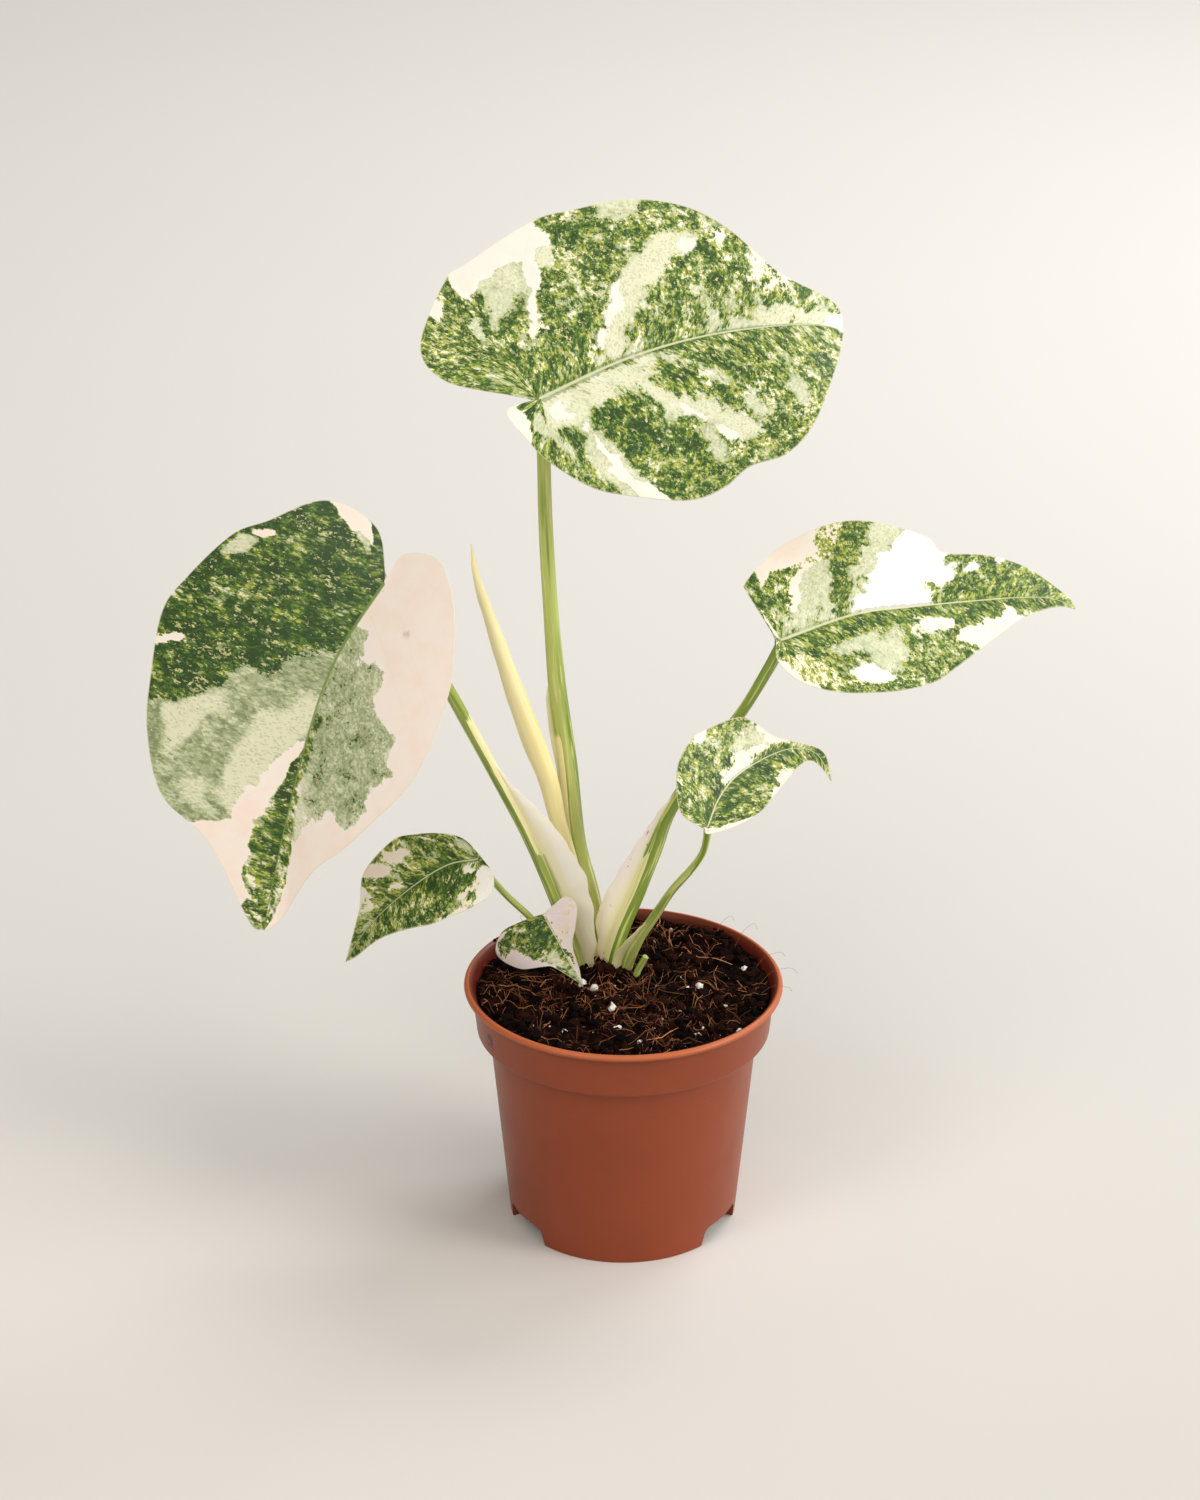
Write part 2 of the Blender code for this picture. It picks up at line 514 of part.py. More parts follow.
def make_soil(parent):
    """The root ball that fills the pot, with a rough top and a plain hole for every stem."""
    bottom = FLOOR_UNDERSIDE + FLOOR_THICKNESS + GAP
    levels = [(bottom, -2.0), (bottom + 2.0, 0.0), (BAND_FOOT_HEIGHT - 3.0, 0.0),
              (BAND_FOOT_HEIGHT + 0.6, -4.6), (BAND_FOOT_HEIGHT + 3.2, 0.0)]
    bm = bmesh.new()
    rings = []
    for height, inset in levels:
        radius = body_inner_radius(height) - GAP + inset
        rings.append([(radius, height)] * SOIL_STEPS)
    rim = body_inner_radius(SOIL_LEVEL - 1.0) - GAP - 0.2
    for k in range(SOIL_RINGS):
        rings.append([(rim * (1 - k / SOIL_RINGS), None)] * SOIL_STEPS)
    loops = []
    for ring in rings:
        loop = []
        for i, (radius, height) in enumerate(ring):
            angle = 2 * math.pi * i / SOIL_STEPS
            x, y = radius * math.cos(angle), radius * math.sin(angle)
            z = soil_height(x, y) if height is None else height
            loop.append(bm.verts.new(Vector((x, y, z)) * MM))
        loops.append(loop)
    for loop, following in zip(loops, loops[1:]):
        for i in range(SOIL_STEPS):
            j = (i + 1) % SOIL_STEPS
            bm.faces.new((loop[i], loop[j], following[j], following[i]))
    bm.faces.new(loops[0])
    peak = bm.verts.new(Vector((0, 0, soil_height(0, 0))) * MM)
    for i in range(SOIL_STEPS):
        bm.faces.new((loops[-1][i], loops[-1][(i + 1) % SOIL_STEPS], peak))
    soil = make_object("soil", bm, (0.045, 0.022, 0.014), 0.95, parent)
    for name, stem in STEMS.items():
        cutter = stem_bmesh(stem, HOLE_SECTIONS, grow=GAP + 0.1, top=HOLE_TOP)
        make_cutter(f"hole_{name}", cutter, soil, parent)


def main():
    clear_scene()
    plant = bpy.data.objects.new("potted_monstera", None)
    plant.location = (PLANT_SHIFT[0] * MM, PLANT_SHIFT[1] * MM, 0)
    bpy.context.scene.collection.objects.link(plant)
    make_pot(plant)
    make_soil(plant)
    for name, stem in STEMS.items():
        make_object(name, stem_bmesh(stem, stem["sections"]), stem["colour"], 0.4, plant)
    for name, leaf in LEAVES.items():
        make_leaf(name, leaf, plant)


main()
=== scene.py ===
import math
import random

import bmesh
import bpy
from bpy.props import FloatProperty, FloatVectorProperty, IntProperty, PointerProperty
from mathutils import Color, Matrix, Vector, noise


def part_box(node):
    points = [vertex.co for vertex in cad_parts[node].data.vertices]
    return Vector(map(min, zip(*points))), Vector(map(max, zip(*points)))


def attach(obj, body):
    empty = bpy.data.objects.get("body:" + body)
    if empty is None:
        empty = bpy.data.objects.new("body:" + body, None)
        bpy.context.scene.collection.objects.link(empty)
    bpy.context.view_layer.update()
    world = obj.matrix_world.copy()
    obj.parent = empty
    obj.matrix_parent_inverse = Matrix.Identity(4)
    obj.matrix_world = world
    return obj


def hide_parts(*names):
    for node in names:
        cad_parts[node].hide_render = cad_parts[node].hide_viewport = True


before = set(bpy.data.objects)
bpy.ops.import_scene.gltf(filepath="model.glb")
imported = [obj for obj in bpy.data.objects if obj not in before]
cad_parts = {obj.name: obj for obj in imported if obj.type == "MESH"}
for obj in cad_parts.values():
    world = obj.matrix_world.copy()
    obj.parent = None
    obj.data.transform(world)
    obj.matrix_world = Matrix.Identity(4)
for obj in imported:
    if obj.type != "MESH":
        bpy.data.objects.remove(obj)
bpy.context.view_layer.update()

bl_info = {
    "name": "Potted variegated monstera",
    "version": (1, 0, 0),
    "blender": (4, 5, 0),
    "location": "View3D > Sidebar > Monstera",
    "description": "Builds a young variegated monstera in its nursery pot, piece by piece",
    "category": "Add Mesh",
}

MM = 0.001

# The pot's axis stands here, in metres; every size below is in millimetres from that axis
POT_LOW, POT_HIGH = (Vector(corner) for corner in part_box("pot"))
AXIS = Vector(((POT_LOW.x + POT_HIGH.x) / 2, (POT_LOW.y + POT_HIGH.y) / 2, 0.0))

# Blades, as in the part's source: the plane that each lies over, its bends and its outlines
VEIN_START = 0.35
VEIN_SWEEP = 0.14
LEAVES = {
    "leaf_top": dict(
        joint=(-30.0, 18.0, 321.5), faces=(0.0, 54.0), heading=14.7, length=112.0, bow=12.0,
        fold=(3.0, 3.0), roll=(0.0, 0.05), arch=0.04, sag=0.0, tip_drop=3.0, tip_from=0.8,
        wave=(1.5, 3, 200.0, 65.0), rows=200, across=36,
        midrib=[(0, 0), (33, 9), (68, 13), (107, 10.5), (115, 7)],
        left=[(-2, 0), (-12, 5), (-31, 16), (-36, 33), (-21, 58), (-12, 63), (16, 74),
              (32, 75), (52, 75), (71, 69), (85, 57), (99, 35), (116, 21), (115, 7)],
        right=[(-2, 0), (-13, -3), (-9, -17), (-4, -28), (8, -42), (22, -49), (40, -55),
               (53, -53), (64, -47), (78, -45), (90, -36), (101, -20), (110, -4), (115, 7)]),
    "leaf_left": dict(
        joint=(-85.5, -10.0, 262.0), faces=(-29.0, 28.0), heading=-96.9, length=130.0, bow=-11.0,
        fold=(15.0, 9.0), roll=(0.25, 0.05), arch=0.1, sag=0.15, tip_drop=0.0, tip_from=0.8,
        wave=(1.0, 3, 180.0, 60.0), rows=200, across=36,
        midrib=[(0, 0), (31, -9), (62, -11), (110, -10), (133, -9)],
        left=[(-2, 0), (-12, 4), (-14, 20), (0, 33), (19, 41), (32, 43), (49, 42), (65, 37),
              (79, 28), (94, 17), (106, 6), (129, -5), (133, -9)],
        right=[(-2, 0), (-18, -10), (-21, -31), (-7, -50), (2, -62), (22, -75), (37, -81),
               (61, -78), (80, -73), (100, -60), (110, -37), (132, -15), (133, -9)]),
    "leaf_right": dict(
        joint=(58.0, 26.0, 225.0), faces=(5.0, 54.0), heading=4.7, length=112.0, bow=10.0,
        fold=(6.0, 6.0), roll=(0.1, 0.1), arch=0.08, sag=0.1, tip_drop=4.0, tip_from=0.75,
        wave=(1.0, 4, 90.0, 40.0), rows=180, across=30,
        midrib=[(0, 0), (27, 8), (50, 10), (97, 11), (107, 10.5), (115, 7)],
        left=[(-2, 0), (-9, 21), (-9, 26), (2, 37), (14, 43), (30, 47), (45, 46), (63, 40),
              (68, 33), (84, 31), (99, 25), (113, 12), (115, 7)],
        right=[(-2, 0), (-3, -9), (4, -19), (17, -25), (29, -27), (40, -27), (53, -24),
               (63, -18), (72, -12), (81, -6), (94, 2.5), (107, 7), (115, 7)]),
    "leaf_small_right": dict(
        joint=(30.5, -14.0, 168.5), faces=(22.0, 30.0), heading=27.3, length=49.7, bow=7.0,
        fold=(8.0, 12.0), roll=(0.3, 0.3), arch=0.15, sag=0.3, tip_drop=0.0, tip_from=0.8,
        wave=(0.0, 3, 0.0, 22.0), rows=110, across=24,
        midrib=[(0, 0), (10.5, 5.5), (23.5, 7.5), (43, 3.5), (52.5, -4.5), (50.5, -16.5)],
        left=[(-1.5, 0), (-5.5, 10.5), (3, 23.5), (14, 28.5), (22, 28), (36.5, 23),
              (42.5, 10.5), (47, 5), (55.5, -6), (50.5, -16.5)],
        right=[(-1.5, 0), (-1.5, -2.5), (9, -6.5), (20, -8), (26, -7), (34.5, -5.5), (43, -4.5),
               (48.5, -5.5), (50.5, -9), (50.5, -16.5)]),
    "leaf_small_left": dict(
        joint=(-54.5, 10.0, 143.5), faces=(-15.0, 48.0), heading=-131.6, length=62.6, bow=-9.0,
        fold=(8.0, 8.0), roll=(0.3, 0.3), arch=0.3, sag=0.3, tip_drop=0.0, tip_from=0.8,
        wave=(0.0, 3, 0.0, 22.0), rows=110, across=24,
        midrib=[(0, 0), (11, -6), (29, -8.5), (47, -8.5), (62, -5)],
        left=[(-1.5, 0), (-0.5, 9.5), (5, 15.5), (14, 14.5), (22.5, 11.5), (29, 9), (36.5, 4),
              (47, -1.5), (58, -3.5), (62, -5)],
        right=[(-1.5, 0), (-0.5, -10), (5.5, -18), (13, -24), (19.5, -27.5), (31, -27),
               (38, -24.5), (45, -17), (53, -11), (62, -5)]),
    "leaf_front": dict(
        joint=(-29.5, 4.0, 122.0), faces=(-20.0, 25.0), heading=-51.6, length=28.7, bow=0.0,
        fold=(25.0, 4.0), roll=(0.5, 1.5), arch=0.3, sag=0.3, tip_drop=0.0, tip_from=0.8,
        wave=(0.0, 3, 0.0, 15.0), rows=90, across=22,
        midrib=[(0, 0), (12, 0), (28.5, -0.5)],
        left=[(-1.5, 0), (-2, 6), (-2, 12), (3, 14.5), (9.5, 9.5), (14.5, 4.5), (23, 2),
              (28.5, -0.5)],
        right=[(-1.5, 0), (-3.5, -10.5), (-4, -19.5), (1.5, -26.5), (11, -20), (15.5, -10.5),
               (18, -6.5), (28.5, -0.5)]),
}

# Tints of the variegation: share of sage under the surface, share of green over it, how deep
# the green is, and the blush of what stays white (over 1 turns to the brown of a scar)
TINTS = {
    "cream": (-0.5, -0.5, 0.3, 0.8), "white": (-0.5, -0.5, 0.3, 0.0),
    "pink": (-0.5, -0.5, 0.3, 0.9), "blush": (-0.5, -0.5, 0.3, 0.8),
    "scar": (-0.5, -0.5, 0.3, 1.6), "lilac": (-0.3, 0.1, 0.5, 0.8),
    "sage": (1.2, 0.02, 0.15, 0.4), "pale": (0.95, 0.0, -0.15, 0.5),
    "grey": (1.3, 0.0, 0.68, 0.4), "mist": (0.95, 0.2, 0.55, 0.4),
    "fleck": (0.3, 0.42, 0.4, 0.4), "yellow": (-0.2, 0.5, 0.15, 0.4),
    "speckle": (0.65, 0.66, 0.5, 0.4), "green": (0.75, 0.76, 0.55, 0.4),
    "dark": (0.75, 0.86, 0.75, 0.4), "deep": (0.75, 0.84, 0.82, 0.4),
}

# Sectors of the variegation on each half blade, painted one over the other. A sector is its
# tint, from where to where between the midrib (0) and the margin (1), and then between which
# side veins (0 at the notch, 1 at the tip) at its inner end and, where given, its outer end.
SECTORS = {
    "leaf_top": dict(
        vein="pale", quilt=0.8, sweep=1.0, runs=((0.2, 30.0), (0.2, 26.0)), shade=0.5, fan=1.5,
        wander=0.7,
        left=["speckle", ("dark", .50, .65, .34, .40), ("dark", .78, .95, .31, .34),
              ("cream", .80, 1.1, .33, .48), ("cream", .62, .82, .43, .46),
              ("sage", .55, .84, .36, .44), ("pale", .70, .82, .46, .49),
              ("speckle", .93, 1.1, .465, .50), ("cream", .90, 1.1, .26, .28),
              ("dark", .56, .68, .405, .43), ("sage", .55, .68, .30, .33),
              ("cream", .35, .60, .43, .44), ("dark", .82, .90, .50, .54),
              ("sage", .90, 1.1, .57, .62),
              ("dark", .65, .82, .62, .64), ("sage", .65, .80, .655, .675),
              ("pale", .02, .82, .51, .55, .665, .73), ("cream", .12, .50, .518, .53, .59, .605),
              ("cream", .68, .78, .69, .71), ("dark", .65, .82, .715, .75),
              ("cream", .86, .94, .745, .755), ("sage", 0, .12, .77, .83),
              ("pale", 0, .30, .83, .87), ("pale", 0, .40, .87, .92), ("pale", 0, .60, .92, .96),
              ("cream", 0, 1.1, .96, 1.1), ("fleck", .60, 1.1, .80, .88),
              ("sage", 0, .40, .725, .735), ("sage", 0, .35, .76, .77)],
        right=["speckle", ("dark", .20, .60, 0, .15), ("cream", .75, 1.1, -.1, .15),
               ("sage", .30, .60, .15, .30), ("pale", .02, .34, .25, .42), ("cream", .12, .26, .36, .385),
               ("pale", 0, .25, .42, .52), ("sage", .30, 1.1, .35, .425), ("green", .35, .60, .31, .36),
               ("cream", .28, .95, .393, .407), ("cream", .70, 1.1, .375, .40), ("cream", .85, 1.1, .40, .43),
               ("dark", .35, .45, .33, .37), ("dark", .22, .70, .43, .53), ("green", .60, 1.1, .44, .56),
               ("pale", .03, .80, .50, .57, .635, .69), ("green", .10, .50, .565, .60, .66, .70),
               ("pale", .04, .42, .62, .645, .71, .735), ("cream", .40, .62, .59, .60, .60, .61),
               ("sage", .66, .86, .565, .60), ("dark", .54, .74, .545, .58), ("cream", .64, .78, .615, .63),
               ("dark", .10, .40, .65, .68, .72, .75), ("sage", .55, .75, .70, .73),
               ("sage", .65, .85, .78, .82)]),
    "leaf_left": dict(
        vein="green", quilt=0.25, sweep=0.4, runs=((0.5, 12.0), (0.8, 8.0)), spine="right", shade=0.0,
        wander=0.55, lengthen=(1.0, 2.4),
        left=["blush", ("mist", -.1, .15, .43, .50), ("mist", -.1, .45, .48, .55),
              ("mist", -.1, .76, .53, .60), ("mist", -.1, .85, .58, .69), ("mist", -.1, .90, .67, .74),
              ("pale", .05, .20, .70, .80), ("mist", .10, .60, .72, .78),
              ("pale", .10, .40, .77, .83), ("green", -.1, .07, .62, 1.1),
              ("speckle", -.1, .30, .72, 1.1, .84, 1.1), ("speckle", .25, .60, .84, 1.1, .95, 1.1),
              ("scar", .39, .455, .38, .408)],
        right=["deep", ("pink", .62, 1.1, .095, .15), ("sage", .50, .64, .11, .15), ("pink", .85, .93, .27, .30),
               ("sage", .82, .97, .31, .36), ("speckle", .50, .75, .40, .47),
               ("cream", .85, 1.1, .515, .525), ("grey", -.1, .17, .45, 1.1, .52, 1.1),
               ("grey", .13, .32, .52, 1.1, .555, 1.1), ("grey", .28, .57, .555, 1.1, .585, 1.1),
               ("grey", .53, .72, .585, 1.1, .61, 1.1), ("grey", .68, 1.1, .61, 1.1),
               ("pale", .56, .90, .605, .63, .615, .70), ("sage", .70, .86, .73, .80),
               ("pale", -.02, .34, .575, .65, .655, .755), ("pale", .30, .60, .645, .745, .76, .83),
               ("cream", -.02, .34, .655, .74, .755, .82), ("cream", .30, .60, .745, 1.1, .82, 1.1),
               ("cream", .56, 1.1, .82, 1.1, .80, 1.1),
               ("speckle", -.1, .55, .72, 1.1, .86, 1.1), ("speckle", .52, .75, .86, 1.1, .93, 1.1),
               ("speckle", .72, 1.1, .93, 1.1, .955, 1.1), ("deep", -.1, .12, .57, .92, .79, .92)]),
    "leaf_right": dict(
        vein="pale", quilt=0.7, sweep=0.8, runs=((0.4, 18.0), (0.25, 26.0)), shade=0.35, fan=0.8,
        left=["speckle", ("green", .50, 1.1, .10, .20), ("speckle", .10, .76, .22, .33),
              ("cream", .75, 1.1, .20, .38), ("cream", .20, .60, .02, .12),
              ("sage", -.1, .65, .37, .46), ("cream", .30, .65, .36, .38),
              ("yellow", .65, 1.1, .37, .44), ("green", .05, 1.1, .44, .53),
              ("sage", .45, 1.1, .50, .56), ("pale", .10, .40, .51, .53),
              ("green", -.1, .50, .68, 1.1), ("green", -.1, .85, .78, .90),
              ("white", -.1, .32, .535, .655), ("white", .28, .62, .55, .69),
              ("white", .58, 1.1, .56, .70, .57, .74), ("green", -.1, .05, .585, .605),
              ("speckle", .05, .55, .66, .70), ("speckle", .75, 1.1, .69, .76),
              ("white", .45, .60, .695, .705), ("white", .58, .85, .745, .755),
              ("white", .85, 1.1, .795, .81)],
        right=["speckle", ("green", -.1, .30, .35, .70), ("yellow", .30, .90, .10, .35),
               ("pink", .80, 1.1, .05, .20), ("sage", .25, .65, .45, .55),
               ("white", .60, .85, .38, .45), ("sage", .65, .80, .47, .49),
               ("green", -.1, .50, .70, 1.1), ("cream", .30, .50, .63, .68),
               ("cream", .66, 1.1, .68, .84), ("speckle", .60, 1.0, .73, .745)]),
    "leaf_small_right": dict(
        vein="pale", quilt=0.8, sweep=0.6, runs=((0.35, 14.0), (0.3, 16.0)), shade=0.4, fan=1.0,
        left=["speckle", ("dark", -.1, .35, .30, .50), ("cream", .85, 1.1, .38, .43),
              ("dark", .75, .85, .54, .56), ("dark", .70, .80, .36, .38),
              ("cream", .0, .35, .52, .60), ("pale", .30, .60, .55, .60),
              ("sage", .50, .90, .60, .68), ("pink", .10, .40, .65, .70),
              ("pink", .90, 1.1, .63, .75), ("dark", -.1, .50, .70, .76)],
        right=["speckle", ("pink", .50, 1.1, -.1, .30), ("green", -.1, .60, .35, .75),
               ("cream", .88, 1.1, .45, .70), ("scar", .82, .88, .625, .635)]),
    "leaf_small_left": dict(
        vein="pale", quilt=0.8, sweep=0.7, runs=((0.3, 16.0), (0.25, 20.0)), shade=0.6, fan=1.2,
        left=["speckle", ("white", .25, 1.1, .08, .32), ("yellow", .55, .85, .30, .33),
              ("dark", .25, .50, .30, .40), ("dark", -.1, .60, .40, .60),
              ("cream", .90, 1.1, .35, .50), ("cream", .60, .80, .36, .38)],
        right=["speckle", ("sage", .20, .70, .10, .25), ("cream", .78, .92, .31, .33),
               ("cream", .55, .65, .27, .29), ("cream", .60, .90, .48, .55),
               ("cream", .60, 1.1, .58, .63), ("cream", .15, .40, .64, .66),
               ("white", .80, 1.1, .70, .76), ("dark", -.1, .15, .40, .85),
               ("sage", -.1, 1.1, .93, 1.1)]),
    "leaf_front": dict(
        vein="pale", petal=(255, 240, 240), quilt=0.8, sweep=0.5, runs=((0.4, 12.0), (0.35, 16.0)), shade=0.4,
        fan=1.0,
        left=["lilac", ("green", -.1, .30, .55, .90), ("green", -.1, 1.1, .93, 1.1)],
        right=["speckle", ("pink", .88, 1.1, .30, .85), ("pink", .80, 1.1, .50, .75),
               ("dark", -.1, .35, .20, .60), ("pale", .10, .50, .70, .90)]),
}

# Stalks, as in the part's source. "cream" lists the blanched stretches of a stalk: from which
# height to which, round which direction, how far to each side, and how strongly.
STEM_FOOT = 86.0
STALKS = {
    "stem_top": dict(
        path=[(-7.6, 24.3, STEM_FOOT), (-9, 24, 99), (-12, 23.5, 120.5), (-18, 23, 145),
              (-21, 22, 178.5), (-24.5, 21, 207.5), (-27, 20, 243.5), (-28.5, 19.5, 275),
              (-29, 18.5, 302), (-30, 18, 321.5)],
        radius=[(86, 3.0), (110, 3.3), (145, 3.8), (190, 3.5), (250, 2.7), (300, 2.45), (322, 2.6)],
        wing=[(150, 0.0), (172, 1.2), (190, 2.0), (205, 1.6), (212, 0.0)],
        turn=170.0, curl=0.0, leaf="leaf_top",
        cream=[(86, 104, 90, 200, 0.8), (86, 200, 150, 40, 0.7), (86, 150, 20, 25, 0.5)]),
    "stem_left": dict(
        path=[(-13.0, 13.5, STEM_FOOT), (-16.5, 12.7, 98), (-25.5, 9.5, 126.5), (-34.7, 6, 153),
              (-46.1, 2.5, 179.5), (-57.5, -1.5, 205), (-67, -4.5, 225.5), (-76, -7, 242),
              (-82, -8.5, 253), (-85.5, -10, 262)],
        radius=[(86, 2.2), (150, 2.3), (200, 2.3), (240, 2.0), (262, 2.1)],
        wing=[(86, 2.5), (97, 3.8), (108, 8.0), (122, 11.5), (135, 13.0), (147, 11.5),
              (156, 9.5), (164, 7.0), (171, 4.0), (178, 1.6), (192, 0.0)],
        turn=25.0, curl=-40.0, leaf="leaf_left",
        cream=[(86, 100, 90, 200, 0.5), (150, 215, 20, 50, 0.9)]),
    "stem_right": dict(
        path=[(-6.5, 13.5, STEM_FOOT), (-5, 14, 97), (-1, 15, 111), (5.5, 16.5, 127),
              (11.5, 18, 143), (17.5, 19.5, 159), (29, 21, 178), (43, 23, 196.5),
              (53, 25, 213.5), (58.5, 26, 224.5)],
        radius=[(86, 2.7), (105, 3.2), (140, 2.9), (160, 2.4), (200, 2.0), (225, 2.2)],
        wing=[(86, 0.8), (97, 1.2), (104, 4.0), (113, 8.0), (122, 8.5), (131, 7.5), (141, 5.5),
              (149, 3.5), (156, 2.0), (165, 0.0)],
        turn=165.0, curl=35.0, leaf="leaf_right",
        cream=[(86, 104, 120, 150, 0.8), (100, 150, 165, 45, 0.9)]),
    "stem_small_right": dict(
        path=[(-1, 10.3, STEM_FOOT), (2, 8.5, 101.5), (6, 5, 112.5), (11.5, 1.5, 123.5),
              (18, -3.5, 137), (24.5, -7, 147), (28.5, -9.5, 154.5), (30, -11.5, 161),
              (30.5, -14, 168.5)],
        radius=[(86, 1.9), (104, 2.3), (115, 1.9), (140, 1.5), (155, 1.3), (168, 1.4)],
        wing=[(86, 1.5), (92, 2.5), (98, 4.2), (104, 4.4), (110, 3.2), (116, 1.5), (122, 0.0)],
        turn=165.0, curl=0.0, leaf="leaf_small_right",
        cream=[(86, 103, 165, 90, 0.8)]),
    "stem_small_left": dict(
        path=[(-20.0, 14.6, STEM_FOOT), (-23.5, 14.5, 97), (-28.5, 13.5, 108.5),
              (-35.5, 12.5, 118), (-42.7, 11.5, 126), (-48.7, 11, 133.5), (-52, 10.5, 139),
              (-54.5, 10, 143.5)],
        radius=[(86, 1.5), (110, 1.35), (130, 1.25), (143, 1.4)],
        wing=None, turn=0.0, curl=0.0, leaf="leaf_small_left", cream=[]),
    "stem_front": dict(
        path=[(-17.0, 7.0, STEM_FOOT), (-20, 8.5, 98.5), (-24, 7.5, 106.5), (-27, 5.5, 114),
              (-29.5, 4, 122)],
        radius=[(86, 1.4), (110, 1.3), (122, 1.1)],
        wing=None, turn=0.0, curl=0.0, leaf="leaf_front", cream=[(86, 122, 0, 70, 0.8)]),
    "new_leaf": dict(
        path=[(-9.5, 18.8, STEM_FOOT), (-12, 19, 102), (-15, 18, 116), (-20, 16.5, 139.5),
              (-24.5, 16, 156.5), (-28, 15, 173.5), (-33.5, 14, 190), (-41.5, 13, 215),
              (-48.5, 11.5, 239), (-53, 10.5, 255), (-55, 10, 269)],
        radius=[(86, 2.2), (120, 2.5), (150, 3.0), (175, 3.8), (190, 4.3), (205, 3.9),
                (225, 3.0), (245, 2.1), (258, 1.3), (269, 0.35)],
        wing=None, turn=0.0, curl=0.0, leaf=None, cream=[]),
    "cut_stub": dict(
        path=[(2.5, 5.8, STEM_FOOT), (4.9, 5.3, 97), (8.4, 4.6, 105)],
        radius=[(86, 1.5), (105, 1.2)],
        wing=None, turn=0.0, curl=0.0, leaf=None, cream=[]),
}

# Pot, as in the part's source
POT_HEIGHT = 98.0
LIP_RADIUS = 60.0
BAND_TOP_RADIUS = 57.0
BAND_FOOT_RADIUS = 55.4
BAND_FOOT_HEIGHT = 78.2
BODY_TOP_RADIUS = 50.5
FOOT_RADIUS = 43.4
WALL = 1.3
FOOT_WALL = 2.2
FLOOR_UNDERSIDE = 4.2
FLOOR_THICKNESS = 1.5
NOTCH_HEIGHT = 7.6
NOTCH_ANGLES = (90.0, 210.0, 330.0)
NOTCH_HALF_WIDTH = 13.0
DRAIN_COUNT = 6
DRAIN_RADIUS = 4.0
DRAIN_CIRCLE = 30.0

# Dark nicks on the outside of the pot's band: their middle
SCRATCH = (-49.5, -26.3, 86.0)

# Soil, as in the part's source
SOIL_LEVEL = 94.3
SOIL_SLOPE = 0.024
CROWN = (-5.0, 12.0)
CROWN_RISE = 2.4
CROWN_SPREAD = 15.0
SOIL_ROUGHNESS = 0.55

# Perlite grains on the soil: where each lies and how wide it is
PERLITE = [(-4, -16.1, 4.6), (-15.2, -1.2, 3.4), (-11, -3.6, 2.8), (-2.5, -30.7, 2.7),
           (28.5, -0.4, 2.6), (24.3, -0.4, 2.0), (45.9, 13.2, 2.3), (28, -33.8, 2.2),
           (42.7, -34.5, 2.0), (5.8, -41.3, 1.9), (21, -13.8, 1.8), (29.2, -29.2, 1.7),
           (-21.7, -33, 1.8), (19.2, 45.5, 2.0), (33, 20, 1.2), (12, 30, 1.3), (-40, 4, 1.2),
           (-20, -20, 1.1), (14, -24, 1.0), (38, -14, 1.2), (-33, -26, 1.0), (8, -8, 1.1)]

# Bare, darker hollows between the fibres: where each lies and how wide it is
HOLLOWS = [(43, 18, 11), (-38, -28, 9), (0, -40, 6), (-23, -48, 7), (30, 44, 7), (20, 4, 6)]

# Loose bits on the pot's rim and heaped against it: where each lies and how wide it is
RIM_BITS = [(-49.3, 31.0, 98.3, 1.5), (-48.2, 32.0, 98.5, 1.0), (-32.5, 44.2, 96.8, 2.6),
            (-31.0, 45.0, 98.6, 1.6), (-33.6, 43.4, 98.4, 1.2), (36.7, 39.3, 96.5, 3.4),
            (38.2, 38.6, 98.2, 2.0), (35.6, 40.2, 98.4, 1.4), (41.5, 35.5, 96.8, 2.4)]

# Stray hairs that stand over the rim: direction, reach beyond the rim and height over it
STRAY_HAIRS = [(34, 1.0, 6.0), (14, 3.0, 3.5), (1, 5.5, 4.0), (-9, 4.0, 1.6), (46, 0.0, 4.5),
               (131, 1.0, 3.0)]


def srgb(red, green, blue):
    """A colour given as 0 to 255 on screen, as the light values that shaders use."""
    screen = Color((red / 255, green / 255, blue / 255)).from_srgb_to_scene_linear()
    return (screen.r, screen.g, screen.b, 1.0)


def clamp(value, low=0.0, high=1.0):
    return min(max(value, low), high)


def ease(value):
    value = clamp(value)
    return value * value * (3 - 2 * value)


class Socket:
    """A shader value that can be written in plain expressions."""

    def __init__(self, paint, link):
        self.paint = paint
        self.link = link

    def math(self, operation, *values):
        return self.paint.node("ShaderNodeMath", {"operation": operation},
                               dict(enumerate(values)))

    def __add__(self, other):
        return self.math('ADD', self, other)

    def __radd__(self, other):
        return self.math('ADD', other, self)

    def __sub__(self, other):
        return self.math('SUBTRACT', self, other)

    def __rsub__(self, other):
        return self.math('SUBTRACT', other, self)

    def __mul__(self, other):
        return self.math('MULTIPLY', self, other)

    def __rmul__(self, other):
        return self.math('MULTIPLY', other, self)

    def __truediv__(self, other):
        return self.math('DIVIDE', self, other)

    def __abs__(self):
        return self.math('ABSOLUTE', self)

    def fraction(self):
        return self.math('FRACT', self)

    def root(self):
        return self.math('SQRT', self)

    def rise(self, low, high):
        """0 below low, 1 above high, smooth between them."""
        return self.paint.node("ShaderNodeMapRange", {"interpolation_type": 'SMOOTHSTEP'},
                               {"Value": self, "From Min": low, "From Max": high})

    def fall(self, low, high):
        return 1.0 - self.rise(low, high)


